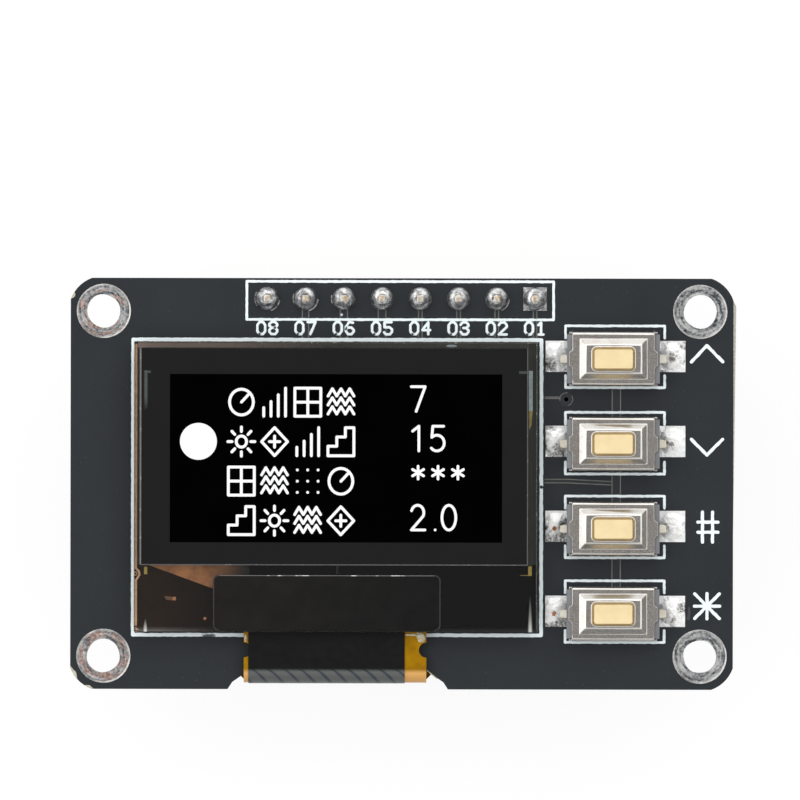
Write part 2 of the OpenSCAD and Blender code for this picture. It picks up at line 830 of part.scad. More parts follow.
// Back half of such a band
module band_back(grow, t, end_y) {
    translate([fold_y - grow, back_arc.y]) square([t, fold_mid_z - back_arc.y]);
    band_arc(back_arc, fold_back_r + grow, t, -1);
    translate([back_arc.x, tail_out_z - grow]) square([end_y - back_arc.x, t]);
}

// Plan of the tail, which widens to its row of contacts
module tail_outline() {
    polygon([
        [-flex_w / 2, fold_y - cut], [flex_w / 2, fold_y - cut], [flex_w / 2, fold_y + flare_start],
        [tail_w / 2, tail_wide_y], [tail_w / 2, tail_end_y + cut],
        [-tail_w / 2, tail_end_y + cut], [-tail_w / 2, tail_wide_y], [-flex_w / 2, fold_y + flare_start]
    ]);
}

module flex_cable() {
    color([0.72, 0.5, 0.1]) translate([flex_x, 0, 0]) {
        difference() {
            along_x(flex_w) band_front(0, flex_t, panel_bottom + flex_bond);
            for (side = [-1, 1])
                translate([side * flex_w / 2, panel_bottom - flex_nick_drop, glass_z - flex_t - cut])
                    cylinder(r = flex_nick_r, h = flex_t + 2 * cut);
        }
        intersection() {
            along_x(tail_w) band_back(0, flex_t, tail_end_y);
            translate([0, 0, tail_out_z - cut]) linear_extrude(fold_mid_z - tail_out_z + 2 * cut) tail_outline();
        }
    }
}

module flex_cover_film() {
    color([0.12, 0.12, 0.12]) translate([flex_x + film_dx, 0, 0]) along_x(film_w) {
        band_front(film_t, film_t, panel_bottom - play);
        band_back(film_t, film_t, back_arc.x + film_back);
    }
}

module flex_solder() {
    color("lightgray") for (n = [1 : contact_count])
        translate([flex_x + (n - (contact_count + 1) / 2) * contact_pitch, tail_end_y, 0]) {
            translate([-contact_w / 2, -contact_l, -tail_gap]) cube([contact_w, contact_l + contact_toe, tail_gap]);
            translate([-contact_w / 2, play, -contact_h]) cube([contact_w, contact_toe - play, contact_h]);
        }
}

// Back components

// Chip part on its two lands: a ceramic block between two metal ends
module chip_part(h) {
    lip = 2 * chip_end_lip;
    translate([0, 0, land_t]) {
        translate([0, 0, chip_end_lip]) slab(chip_part_l - chip_end_l, chip_part_w - lip, h - lip);
        at_both_ends() translate([(chip_part_l - chip_end_l) / 2, 0, 0]) slab(chip_end_l, chip_part_w, h);
    }
}

// Lands and solder wedges at both ends of a chip part
module chip_solder(h) {
    wedge_h = min(h, fillet_h);
    at_both_ends() {
        translate([chip_part_l / 2 - chip_end_l, -chip_part_w / 2, 0])
            cube([chip_end_l + fillet_l, chip_part_w, land_t]);
        translate([chip_part_l / 2, 0, land_t])
            along_y(chip_part_w) polygon([[0, 0], [fillet_l, 0], [0, wedge_h]]);
    }
}

module at_capacitor(n) {
    on_back(flex_x + capacitor_dx + (n - (capacitor_count + 1) / 2) * capacitor_pitch, capacitor_y)
        rotate([0, 0, 90]) children();
}

module at_resistor(n) {
    on_back(header_x + (n - (resistor_count + 1) / 2) * pin_pitch, resistor_y) rotate([0, 0, 90]) children();
}

module capacitor(n) {
    color("tan") at_capacitor(n) chip_part(capacitor_h);
}

module resistor(n) {
    color([0.1, 0.1, 0.1]) at_resistor(n) chip_part(resistor_h);
}

// Moulded body, widest at the parting line where the leads come out
module regulator_body() {
    half_h = regulator_h / 2;
    top_l = regulator_l - 2 * regulator_draft;
    top_w = regulator_w - 2 * regulator_draft;
    translate([0, 0, regulator_gap]) frustum(top_l, top_w, regulator_l, regulator_w, half_h);
    translate([0, 0, regulator_gap + half_h]) frustum(regulator_l, regulator_w, top_l, top_w, half_h);
}

// Gull-wing lead that leaves towards +Y
module gull_lead() {
    mid_z = regulator_gap + regulator_h / 2;
    wall = regulator_w / 2;
    heel = wall + lead_reach - lead_foot;
    along_x(lead_w) polygon([
        [wall - lead_t, mid_z - lead_t / 2], [heel - lead_t, mid_z - lead_t / 2], [heel, land_t],
        [wall + lead_reach, land_t], [wall + lead_reach, land_t + lead_t],
        [heel + lead_t, land_t + lead_t], [heel, mid_z + lead_t / 2], [wall - lead_t, mid_z + lead_t / 2]
    ]);
}

// Children at the three leads of the regulator
module at_leads() {
    children();
    for (side = [-1, 1]) translate([side * lead_pitch / 2, 0, 0]) rotate([0, 0, 180]) children();
}

module voltage_regulator() {
    color([0.1, 0.1, 0.1]) on_back(regulator_x, regulator_y) regulator_body();
}

module regulator_leads() {
    color("lightgray") on_back(regulator_x, regulator_y) difference() {
        at_leads() gull_lead();
        regulator_body();
    }
}

module component_solder() {
    foot_y = regulator_w / 2 + lead_reach - lead_foot;
    color("lightgray") {
        for (n = [1 : capacitor_count]) at_capacitor(n) chip_solder(capacitor_h);
        for (n = [1 : resistor_count]) at_resistor(n) chip_solder(resistor_h);
        on_back(regulator_x, regulator_y) at_leads()
            translate([0, foot_y + (lead_foot + fillet_l) / 2, 0]) slab(lead_land_w, lead_foot + fillet_l, land_t);
    }
}

circuit_board();
mounting_hole_pads();
header_strip();
header_solder();
for (n = [1 : pin_count])
    header_pin(n);
for (n = [1 : switch_count]) {
    switch_base(n);
    switch_terminals(n);
    switch_dome(n);
    switch_plunger(n);
    switch_cover(n);
    switch_solder(n);
}
front_glass();
polarizer_film();
cap_glass();
emitter_film();
desiccant_sheet();
driver_chip();
light_shield_tape();
adhesive_pad();
flex_cable();
flex_cover_film();
flex_solder();
voltage_regulator();
regulator_leads();
for (n = [1 : capacitor_count])
    capacitor(n);
for (n = [1 : resistor_count])
    resistor(n);
component_solder();
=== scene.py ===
"""Looks of a small graphic display module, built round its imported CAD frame.

Sizes below are millimetres in the frame's own axes: the board lies in XY and the display looks along +Z.
"""
import json
import math
import random

import bmesh
import bpy
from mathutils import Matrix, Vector, noise

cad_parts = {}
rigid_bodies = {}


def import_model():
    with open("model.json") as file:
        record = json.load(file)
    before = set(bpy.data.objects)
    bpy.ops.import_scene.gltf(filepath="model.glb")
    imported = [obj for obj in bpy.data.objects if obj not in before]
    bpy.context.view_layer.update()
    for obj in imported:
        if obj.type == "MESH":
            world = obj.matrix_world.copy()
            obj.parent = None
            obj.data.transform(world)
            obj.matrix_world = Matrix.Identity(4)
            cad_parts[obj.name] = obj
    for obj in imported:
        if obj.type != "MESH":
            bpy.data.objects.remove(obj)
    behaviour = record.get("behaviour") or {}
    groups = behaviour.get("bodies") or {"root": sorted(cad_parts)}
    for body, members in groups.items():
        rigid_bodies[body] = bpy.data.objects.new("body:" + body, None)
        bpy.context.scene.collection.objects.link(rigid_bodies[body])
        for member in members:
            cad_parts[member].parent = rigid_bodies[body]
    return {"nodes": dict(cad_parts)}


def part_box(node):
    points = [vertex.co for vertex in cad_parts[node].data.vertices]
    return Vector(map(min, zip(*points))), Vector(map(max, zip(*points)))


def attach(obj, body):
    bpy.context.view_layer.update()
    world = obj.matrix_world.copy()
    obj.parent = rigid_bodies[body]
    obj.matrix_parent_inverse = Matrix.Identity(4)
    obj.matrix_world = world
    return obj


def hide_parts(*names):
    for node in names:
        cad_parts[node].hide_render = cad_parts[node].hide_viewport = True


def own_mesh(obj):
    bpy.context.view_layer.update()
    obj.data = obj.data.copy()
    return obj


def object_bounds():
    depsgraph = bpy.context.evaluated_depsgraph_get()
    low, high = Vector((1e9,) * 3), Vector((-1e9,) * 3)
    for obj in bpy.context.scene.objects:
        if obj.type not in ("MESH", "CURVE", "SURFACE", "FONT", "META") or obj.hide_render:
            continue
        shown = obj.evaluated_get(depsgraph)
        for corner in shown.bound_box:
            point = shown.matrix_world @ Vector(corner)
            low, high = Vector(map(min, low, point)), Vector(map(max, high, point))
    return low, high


MM = 0.001

for leftover in list(bpy.data.objects):
    bpy.data.objects.remove(leftover)

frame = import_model()
cad_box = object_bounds()
nodes = frame["nodes"]


def box(node):
    """Lowest and highest corner of a CAD node in millimetres."""
    low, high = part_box(node)
    return low / MM, high / MM


def middle(node):
    low, high = box(node)
    return (low + high) / 2


# Sizes taken from the frame
board_low, board_high = box("circuit_board")
glass_low, glass_high = box("front_glass")
film_low, film_high = box("polarizer_film")
tape_low, tape_high = box("light_shield_tape")
tail_low, tail_high = box("flex_solder")
sleeve_low, sleeve_high = box("flex_cover_film")
flex_low = box("flex_cable")[0]
ring_high = box("mounting_hole_pads")[1]
plateau_z = box("switch_1_cover")[1].z
front = board_high.z
back = board_low.z
glass_rear = glass_low.z
glass_front = glass_high.z
film_front = film_high.z
edge_right = -board_low.x

ring_r = 1.8
hole_r = 1.15
corner_r = 2.33
hole_x = ring_high.x - ring_r
hole_y = ring_high.y - ring_r
pin_x = [middle(f"header_pin_{n}").x for n in range(1, 9)]
pin_y = middle("header_pin_1").y
switches = {n: middle(f"switch_{n}_base") for n in range(1, 5)}
switch_x = switches[1].x
switch_pitch = (switches[1].y - switches[4].y) / 3

# How far the terminals' ends and the bare spots on the lands lie from each switch's centre
terminal_reach = 3.3
spot_reach = 3.9

# Thickness of what lies on the board, and the step between strokes that cross
silk_t = 0.035
trace_t = 0.022
stroke_step = 0.0003


# Shader nodes

def linear(tone):
    """Linear form of an 8-bit colour; a linear one, or a node's output, stays."""
    if not isinstance(tone, tuple) or len(tone) != 3:
        return tone
    channels = [c / 255 for c in tone]
    return (*[c / 12.92 if c <= 0.04045 else ((c + 0.055) / 1.055) ** 2.4 for c in channels], 1)


def shade(colour, factor):
    return tuple(c * factor for c in linear(colour)[:3]) + (1,)


class Nodes:
    """Makes and links the nodes of one shader tree."""

    def __init__(self, tree):
        self.tree = tree

    def put(self, socket, value):
        """Links an output to a socket, or sets a constant on it."""
        if isinstance(value, bpy.types.NodeSocket):
            self.tree.links.new(value, socket)
        elif value is not None:
            socket.default_value = value

    def node(self, kind, *inputs, **settings):
        made = self.tree.nodes.new("ShaderNode" + kind)
        for key, value in settings.items():
            setattr(made, key, value)
        for socket, value in zip(made.inputs, inputs):
            self.put(socket, value)
        return made

    def math(self, operation, *values):
        return self.node("Math", *values, operation=operation).outputs[0]

    def plus(self, first, second):
        return self.math("ADD", first, second)

    def minus(self, first, second):
        return self.math("SUBTRACT", first, second)

    def over(self, first, second):
        return self.math("DIVIDE", first, second)

    def times(self, *factors):
        product = factors[0]
        for factor in factors[1:]:
            product = self.math("MULTIPLY", product, factor)
        return product

    def scaled(self, value, factor, offset):
        return self.math("MULTIPLY_ADD", value, factor, offset)

    def off(self, value, centre):
        """Distance of a value from a centre."""
        return self.math("ABSOLUTE", self.minus(value, centre))

    def length(self, first, second):
        return self.math("SQRT", self.scaled(first, first, self.times(second, second)))

    def span(self, value, low, high, to_low=0.0, to_high=1.0):
        return self.node("MapRange", value, low, high, to_low, to_high).outputs[0]


class Finish(Nodes):
    """One procedural material: constants on the shader's sockets, patterns from nodes."""

    def __init__(self, name, colour, roughness, metallic=0.0, level=0.5, **sockets):
        self.material = bpy.data.materials.new(name)
        self.material.use_nodes = True
        super().__init__(self.material.node_tree)
        self.set(Base_Color=linear(colour), Roughness=roughness, Metallic=metallic,
                 Specular_IOR_Level=level, **sockets)

    def set(self, **sockets):
        shader = self.tree.nodes["Principled BSDF"]
        for name, value in sockets.items():
            self.put(shader.inputs[name.replace("_", " ")], value)

    def place(self):
        """Position on the piece, in millimetres."""
        where = self.node("TexCoord").outputs["Object"]
        return self.node("VectorMath", where, (1 / MM,) * 3, operation="MULTIPLY").outputs[0]

    def axes(self):
        return self.node("SeparateXYZ", self.place()).outputs

    def facing(self):
        return self.node("SeparateXYZ", self.node("NewGeometry").outputs["Normal"]).outputs

    def noise(self, size, detail=3.0, rough=0.55, stretch=(1, 1, 1), shift=0.0, where=None):
        """Noise with features of a size in millimetres, or in the units of another place."""
        scale = [s / size for s in stretch]
        spot = self.node("VectorMath", where or self.place(), scale, (shift,) * 3, operation="MULTIPLY_ADD")
        made = self.node("TexNoise", spot.outputs[0])
        for socket, value in (("Scale", 1), ("Detail", detail), ("Roughness", rough)):
            made.inputs[socket].default_value = value
        return made.outputs[0]

    def cloud(self, size, detail=3.0, low=0.3, high=0.7, to_low=0.0, to_high=1.0, **form):
        """Noise between two levels, spread over a range."""
        return self.span(self.noise(size, detail, **form), low, high, to_low, to_high)

    def gloss(self, low, high, size, detail=3.0, **form):
        """Roughness that wanders between two values."""
        self.set(Roughness=self.cloud(size, detail, to_low=low, to_high=high, **form))

    def mix(self, share, first, second):
        made = self.node("Mix", share, data_type="RGBA")
        self.put(made.inputs[6], linear(first))
        self.put(made.inputs[7], linear(second))
        return made.outputs[2]

    def tone(self, share, first, second):
        self.set(Base_Color=self.mix(share, first, second))

    def bump(self, *heights):
        """Relief from a noise's size and detail, or a pattern, each with its depth."""
        normal = None
        for *pattern, depth in heights:
            made = self.node("Bump")
            made.inputs["Distance"].default_value = depth * MM
            self.put(made.inputs["Height"], self.noise(*pattern) if len(pattern) == 2 else pattern[0])
            self.put(made.inputs["Normal"], normal)
            normal = made.outputs[0]
        self.set(Normal=normal)


def solder_mask():
    """Black lacquer on the faces, glass-epoxy on the cut edges, pale fibre on the snapped fin."""
    f = Finish("solder_mask", (34, 39, 45), 0.42, level=0.45)
    lacquer = f.mix(f.cloud(6, 4), (27, 32, 37), (33, 38, 43))
    dust = f.cloud(0.16, 1, 0.74, 0.8, 0.0, 0.35)
    lacquer = f.mix(dust, lacquer, (96, 100, 104))
    fibre = f.cloud(0.12, 3, 0.35, 0.65, stretch=(1, 1, 6))
    epoxy_edge = f.mix(fibre, (46, 44, 36), (92, 86, 66))
    pale = f.mix(fibre, (196, 192, 176), (240, 238, 228))
    fin = f.span(f.axes()[0], edge_right + 0.005, edge_right + 0.02)
    edge = f.span(f.math("ABSOLUTE", f.facing()[2]), 0.55, 0.45)
    f.tone(fin, f.mix(edge, lacquer, epoxy_edge), pale)
    f.set(Roughness=f.span(f.math("MAXIMUM", edge, fin), 0, 1, 0.42, 0.8))
    f.bump((0.5, 2, 0.002), (0.09, 2, 0.0012))
    return f


def silk_ink():
    """White ink, thin in places, with one dark worn patch on the lower frame line."""
    f = Finish("silk_ink", (238, 247, 248), 0.6)
    worn_x, worn_y = (-12.8, -10.12)
    x, y, _ = f.axes()
    ink = f.mix(f.cloud(0.22, 4, 0.62, 0.78), (243, 253, 255), (208, 221, 227))
    patch = f.length(f.times(f.minus(x, worn_x), 2.4), f.times(f.minus(y, worn_y), 7))
    worn = f.span(f.plus(patch, f.cloud(0.12, to_low=-0.3, to_high=0.3)), 1.2, 0.8)
    f.tone(worn, ink, (92, 96, 100))
    f.bump((0.08, 3, 0.006))
    return f


def tinned_ring():
    """Hot-tinned ring: grey arcs round the hole, some copper, and a painted highlight along its rim at the
    lower right.
    """
    f = Finish("tinned_ring", (176, 176, 178), 0.4, 1.0)
    x, y, _ = f.axes()
    across = f.minus(x, f.times(f.math("SIGN", x), hole_x))
    along = f.minus(y, f.times(f.math("SIGN", y), hole_y))
    radius = f.length(across, along)
    corner = f.scaled(x, 0.1, f.times(y, 0.17))
    turn = f.plus(f.over(along, radius), corner)
    lap = f.node("CombineXYZ", f.times(radius, 4.2), f.over(across, radius), turn).outputs[0]
    arcs = f.noise(0.9, 3, 0.5, where=lap)
    blotch = f.span(f.scaled(f.noise(0.18, 4, 0.65), 0.7, arcs), 0.68, 0.99)
    grey = f.mix(blotch, (72, 77, 83), (208, 208, 207))
    bare = f.scaled(x, -0.006, f.scaled(y, -0.0022, 0.45))
    copper = f.span(f.plus(f.noise(0.8, 3, 0.5, where=lap, shift=7.3), bare), 1.03, 1.13)
    patchy = f.cloud(0.2, 3, 0.28, 0.44, 0.3, 1.0, shift=5.2)
    copper = f.times(copper, patchy, f.span(radius, 1.74, 1.6))
    pink = f.mix(f.cloud(0.2, 3, 0.36, 0.64), (142, 122, 117), (214, 180, 166))
    highlight_side = f.scaled(across, 0.5, f.times(along, -0.3))
    # Painted highlight: the outer rim is coloured near-white, most strongly at the lower right.
    rim = f.times(f.span(radius, 1.66, 1.73), f.span(highlight_side, 0.2, 0.9, 0.3, 1.0))
    f.tone(rim, f.mix(copper, grey, pink), (246, 244, 240))
    f.gloss(0.34, 0.62, 0.3, shift=4.4)
    f.bump((arcs, 0.05), (0.09, 2, 0.012))
    return f


def solder(name, bright, dark, roughness, patch, relief):
    """Tin solder with patches and a lumpy skin."""
    f = Finish(name, bright, roughness, 1.0)
    f.tone(f.cloud(patch, 5, 0.4, 0.62, rough=0.6), dark, bright)
    f.gloss(roughness - 0.1, roughness + 0.16, patch * 0.6, shift=3.2)
    f.bump((patch * 0.5, 4, relief), (0.07, 2, relief * 0.2))
    return f


def land_tin():
    """Frosted tin: white, grey where it ran thin, bare metal at some terminals; painted shade round each
    terminal's end.
    """
    f = Finish("land_solder", (250, 250, 249), 0.6)
    x, y, _ = f.axes()
    turn = f.math("FRACT", f.over(f.minus(y, switches[4].y - switch_pitch / 2), switch_pitch))
    # The left lands turn greyer towards their lower part.
    lower = f.times(f.span(turn, 0.52, 0.36), f.span(x, switch_x - 2, switch_x - 3))
    frost = f.span(f.scaled(lower, -0.16, f.noise(1.1, 5, 0.6)), 0.35, 0.44)
    grain = f.cloud(0.14, 4, 0.36, 0.62, rough=0.6, shift=3.1)
    tone = f.mix(frost, f.mix(grain, (84, 84, 82), (222, 221, 219)), (254, 254, 253))
    spread = f.cloud(0.25, to_low=-0.1, to_high=0.1)
    # Painted shade darkens the land round each terminal's end.
    beside_x = f.minus(f.off(x, switch_x), terminal_reach)
    beside_y = f.times(f.minus(turn, 0.5), switch_pitch)
    terminal_shade = f.span(f.plus(f.length(beside_x, beside_y), spread), 0.7, 0.35, 0.0, 0.45)
    tone = f.mix(terminal_shade, tone, f.mix(grain, (92, 92, 90), (184, 183, 180)))
    rust = f.mix(grain, (120, 74, 44), (188, 122, 74))
    smoke = f.mix(grain, (104, 97, 90), (172, 165, 157))
    spots = ((1, 1, 0.2, smoke), (2, 1, 0.18, smoke), (3, -1, 0.16, rust), (4, -1, 0.2, rust))
    for switch, side, size, colour in spots:
        across = f.minus(x, switch_x + side * spot_reach)
        along = f.minus(y, switches[switch].y)
        spot = f.span(f.plus(f.length(across, along), spread), size, size - 0.06)
        tone = f.mix(spot, tone, colour)
    f.set(Base_Color=tone, Metallic=f.span(frost, 0, 1, 0.8, 0.4), Roughness=f.span(frost, 0, 1, 0.36, 0.42))
    f.bump((0.75, 2, 0.22), (0.16, 3, 0.03))
    return f


def moulded(name, colour, roughness, grain=0.05, depth=0.004):
    """Moulded plastic with a fine eroded grain."""
    f = Finish(name, colour, roughness)
    f.tone(f.cloud(1.1, 4), shade(colour, 0.82), colour)
    f.gloss(roughness - 0.06, roughness + 0.08, 0.4)
    f.bump((grain, 3, depth))
    return f


def plated(name, colour, tarnish, roughness, metallic=1.0):
    """Plated metal with fine scratches and faint tarnish."""
    f = Finish(name, colour, roughness, metallic)
    f.tone(f.cloud(0.6, 4, 0.45, 0.75), colour, tarnish)
    f.gloss(roughness - 0.08, roughness + 0.12, 0.25)
    f.bump((0.1, 3, 0.003))
    return f


def pin_plating():
    """Gold-plated pin with drawing marks, whose soldered tip is bright tin."""
    f = Finish("pin_plating", (232, 200, 128), 0.24, 1.0)
    lengthwise = (1, 1, 0.15)
    gold = f.mix(f.cloud(0.6, 4, 0.45, 0.75), (232, 200, 128), (196, 160, 96))
    tinned = f.mix(f.cloud(0.18, 3, 0.5, 0.6), (222, 220, 214), (206, 166, 104))
    tip = f.span(f.axes()[2], front, front + 0.6)
    f.tone(tip, gold, tinned)
    f.set(Metallic=f.span(tip, 0, 1, 1.0, 0.4))
    f.gloss(0.18, 0.36, 0.25, stretch=lengthwise)
    f.bump((f.noise(0.1, 3, stretch=lengthwise), 0.003))
    return f


def pewter_cover():
    """Drawn sheet-metal cover: satin nickel with a brownish speckle."""
    f = Finish("switch_cover", (200, 196, 190), 0.26, 1.0)
    level = f.span(f.facing()[2], 0.94, 0.99)
    satin = f.mix(f.cloud(0.08, 4, 0.36, 0.64, rough=0.7), (180, 172, 165), (228, 223, 217))
    stain = f.cloud(0.9, 4, 0.5, 0.72, 0.0, 0.3, shift=1.9)
    f.tone(stain, f.mix(level, (206, 203, 198), satin), (172, 156, 142))
    f.gloss(0.18, 0.26, 0.14, shift=6.1)
    f.bump((0.2, 3, 0.0012))
    return f


def clear_glass(name, tint):
    f = Finish(name, tint, 0.02, Transmission_Weight=1.0, IOR=1.45)
    f.set(Roughness=f.cloud(3, 3, 0.4, 0.7, 0.01, 0.04))
    return f


def dark_film(name, colour, roughness, level, grain, depth):
    """Smooth black film with faint clouding."""
    f = Finish(name, colour, roughness, level=level)
    f.tone(f.cloud(2.2, 4, 0.35), colour, shade(colour, 1.5))
    f.gloss(roughness - 0.03, roughness + 0.06, 0.9, shift=3.3)
    f.bump((grain, 3, depth))
    return f


def tape_film():
    """Matt black tape, a little brown towards its left end."""
    f = Finish("black_tape", (9, 9, 9), 0.3, level=0.34)
    left = f.mix(f.cloud(1.6, 4, 0.35), (15, 13, 11), (22, 19, 15))
    f.tone(f.span(f.axes()[0], tape_low.x, tape_high.x), left, (4, 4, 4))
    f.gloss(0.27, 0.36, 0.9, shift=3.3)
    f.bump((0.14, 3, 0.002))
    return f


def ledge_coat():
    """Dark coat behind the ledge, brown at the left end, with light spilling in at its lower edge."""
    f = Finish("ledge_coat", (6, 6, 6), 0.6, level=0.0)
    brown_x, black_x, dim_x = (-16.0, -9.0, -13.0)
    foot = glass_low.y + 0.08
    x, y, _ = f.axes()
    brown = f.mix(f.noise(1.5, 3), (40, 30, 23), (52, 39, 31))
    coat = f.mix(f.span(x, black_x, brown_x), (2, 2, 2), brown)
    glow = f.math("POWER", f.span(y, foot + 0.34, foot), 2.0)
    glow = f.times(glow, f.span(x, dim_x, brown_x, 0.04, 0.16))
    # Painted light also climbs up from the lower edge at the ledge's two ends.
    for centre, rise in ((-17.0, 0.8), (8.53, 2.4)):
        climb = f.span(y, foot + rise, foot)
        near = f.over(f.off(x, centre), f.span(climb, 0, 1, 0.04, 0.17))
        glow = f.math("MAXIMUM", glow, f.times(f.span(near, 1.0, 0.35), f.math("POWER", climb, 1.3)))
    f.tone(glow, coat, (255, 253, 248))
    return f


def striped_film():
    """Black cover film whose fold shows slanting creases, with a painted sheen in pale stripes along them.
    """
    f = Finish("cover_film", (24, 24, 25), 0.3, level=0.25)
    fold_pitch, fold_h = (1.06, 0.95)
    x, y, _ = f.axes()
    depth = f.span(y, flex_low.y + fold_h, flex_low.y)
    lean = f.times(f.math("POWER", depth, 0.7), 1.15)
    wave = f.off(f.math("FRACT", f.over(f.minus(x, lean), fold_pitch)), 0.5)
    crease = f.span(f.plus(wave, f.times(f.noise(0.8), 0.12)), 0.08, 0.24)
    on_fold = f.span(f.facing()[1], -0.12, -0.3)
    flat = f.mix(f.cloud(1.6, 4), (5, 5, 6), (9, 9, 10))
    # Painted sheen: the fold is coloured pale grey, striped along the creases, against the black of the flat
    # film.
    f.tone(on_fold, flat, f.mix(crease, (52, 62, 70), (98, 100, 100)))
    f.gloss(0.34, 0.46, 0.5)
    f.bump((f.times(crease, on_fold), 0.004), (0.2, 2, 0.001))
    return f


def amber_flex():
    """Polyimide with buried copper, paler where the fold catches light."""
    f = Finish("polyimide", (176, 124, 8), 0.3, level=0.16)
    flat = f.mix(f.cloud(0.7, 4), (143, 101, 0), (169, 123, 0))
    f.tone(f.span(f.facing()[1], -0.15, -0.4), flat, (232, 176, 104))
    f.bump((0.25, 2, 0.004))
    return f


def fan_out_metal():
    """Fine metal tracks on the glass, which fade out to the right."""
    f = Finish("fan_out_metal", (190, 132, 92), 0.3, 0.6)
    fade = f.span(f.axes()[0], tape_low.x - 0.4, tape_low.x + 2.2)
    f.tone(fade, f.mix(f.cloud(1.6, 4, 0.4, 0.62), (156, 104, 68), (206, 142, 94)), (18, 16, 8))
    f.set(Metallic=f.span(fade, 0, 1, 0.6, 0.0))
    return f


def plain_tint(name, colour, roughness, metallic=0.0, level=0.5, cloud=0.4):
    """A tint with slight clouding, for thin prints and inner parts."""
    f = Finish(name, colour, roughness, metallic, level)
    f.tone(f.cloud(cloud, 3, 0.35), shade(colour, 0.7), colour)
    return f


def fading_haze():
    """Grey print along the top of the glass, which dims to the right."""
    f = Finish("bus_haze", (74, 72, 68), 0.5, level=0.2)
    bright_x, dim_x = (-13.0, -5.0)
    share = f.plus(f.span(f.axes()[0], bright_x, dim_x), f.cloud(0.12, to_low=-0.15, to_high=0.15))
    f.tone(f.span(share, 0, 1), (152, 132, 122), (74, 72, 68))
    return f


def soft_mark():
    """Grey print under the film, brightest along the middle of its upright and of its bar."""
    f = Finish("mark_grey", (80, 86, 82), 0.12)
    upright_x, bar_y = (-16.98, 7.4)
    x, y, _ = f.axes()
    upright = f.times(f.span(f.off(x, upright_x), 0.15, 0.05), f.span(y, 4.8, 5.7))
    bar = f.span(f.off(y, bar_y), 0.12, 0.04, 0.0, 0.8)
    share = f.times(f.math("MAXIMUM", upright, bar), f.cloud(0.4, to_low=0.7))
    f.tone(share, (6, 6, 7), (80, 86, 82))
    return f


def glinting_edge(name, dull, bright, cut, size=0.3):
    """Painted highlight for a cut edge of a film or of glass: dull, with bright glints where the noise
    passes the cut.
    """
    f = Finish(name, dull, 0.5)
    f.tone(f.cloud(size, 3, cut, cut + 0.1), f.mix(f.noise(0.9), shade(dull, 0.6), dull), bright)
    return f


def chip_part(name, body, axis_ends):
    """Ceramic chip with tinned ends, told apart along the part's own length."""
    f = Finish(name, body, 0.4)
    along = f.node("SeparateXYZ", f.node("TexCoord").outputs["Generated"]).outputs[1]
    metal = f.span(f.off(along, 0.5), axis_ends - 0.01, axis_ends + 0.01)
    f.tone(metal, f.mix(f.cloud(0.3, 4), shade(body, 0.8), body), (205, 203, 200))
    f.set(Metallic=metal)
    f.bump((0.1, 3, 0.008))
    return f


# Finishes that more than one piece wears
silk = silk_ink()
copper_mask = plain_tint("mask_over_copper", (42, 47, 52), 0.38, cloud=1.5)
track_rim = plain_tint("track_rim", (122, 122, 116), 0.5, cloud=0.8)
fine_solder = solder("fine_solder", (222, 221, 219), (150, 150, 152), 0.34, 0.5, 0.03)
land_solder = land_tin()
ring_metal = tinned_ring()
tin = plated("tin", (255, 250, 234), (240, 228, 204), 0.46, 0.1)
pin_metal = pin_plating()
steel = plated("spring_steel", (186, 186, 188), (140, 138, 136), 0.28)
cover_metal = pewter_cover()
base_plastic = moulded("switch_base", (124, 125, 128), 0.55)
ivory = Finish("ivory_button", (248, 230, 186), 0.5)
ivory.tone(ivory.cloud(0.8, 4), (232, 209, 159), (241, 219, 172))
ivory.bump((0.09, 3, 0.004))
tape_black = tape_film()
black = dark_film("black_coat", (2, 2, 2), 0.6, 0.0, 0.4, 0.0005)
lit = Finish("lit_pixels", (8, 8, 8), 0.5, Emission_Strength=1.0)
lit.set(Emission_Color=lit.mix(lit.cloud(0.3, 2), (250, 250, 250), (255, 255, 255)))
pale_mark_and_glint = plain_tint("pale_mark_and_glint", (206, 220, 222), 0.3)
capacitor = chip_part("capacitor_ceramic", (164, 128, 92), 0.3)
resistor = chip_part("resistor_ceramic", (30, 30, 34), 0.32)
raw_epoxy = plain_tint("raw_epoxy", (206, 202, 180), 0.8, cloud=0.16)
glue = Finish("glue", (236, 226, 190), 0.25, Transmission_Weight=0.35, IOR=1.46)
glue.tone(glue.cloud(0.2, 3, 0.35, 0.65), (206, 184, 112), (244, 242, 232))
glue.bump((0.15, 3, 0.02))


# CAD nodes: materials and softened edges

sharp_angle = 35


def dress(name, finish, edge=0.0, segments=2, clamp=True):
    """Gives a CAD node its finish, and rounds its sharp edges with modifiers."""
    node = nodes[name]
    node.data.materials.clear()
    node.data.materials.append(finish.material)
    if not edge:
        return
    node.modifiers.new("weld", "WELD").merge_threshold = 1e-6
    bevel = node.modifiers.new("bevel", "BEVEL")
    bevel.width = edge * MM
    bevel.segments = segments
    bevel.limit_method = "ANGLE"
    bevel.angle_limit = math.radians(sharp_angle)
    bevel.use_clamp_overlap = clamp
    bevel.harden_normals = True


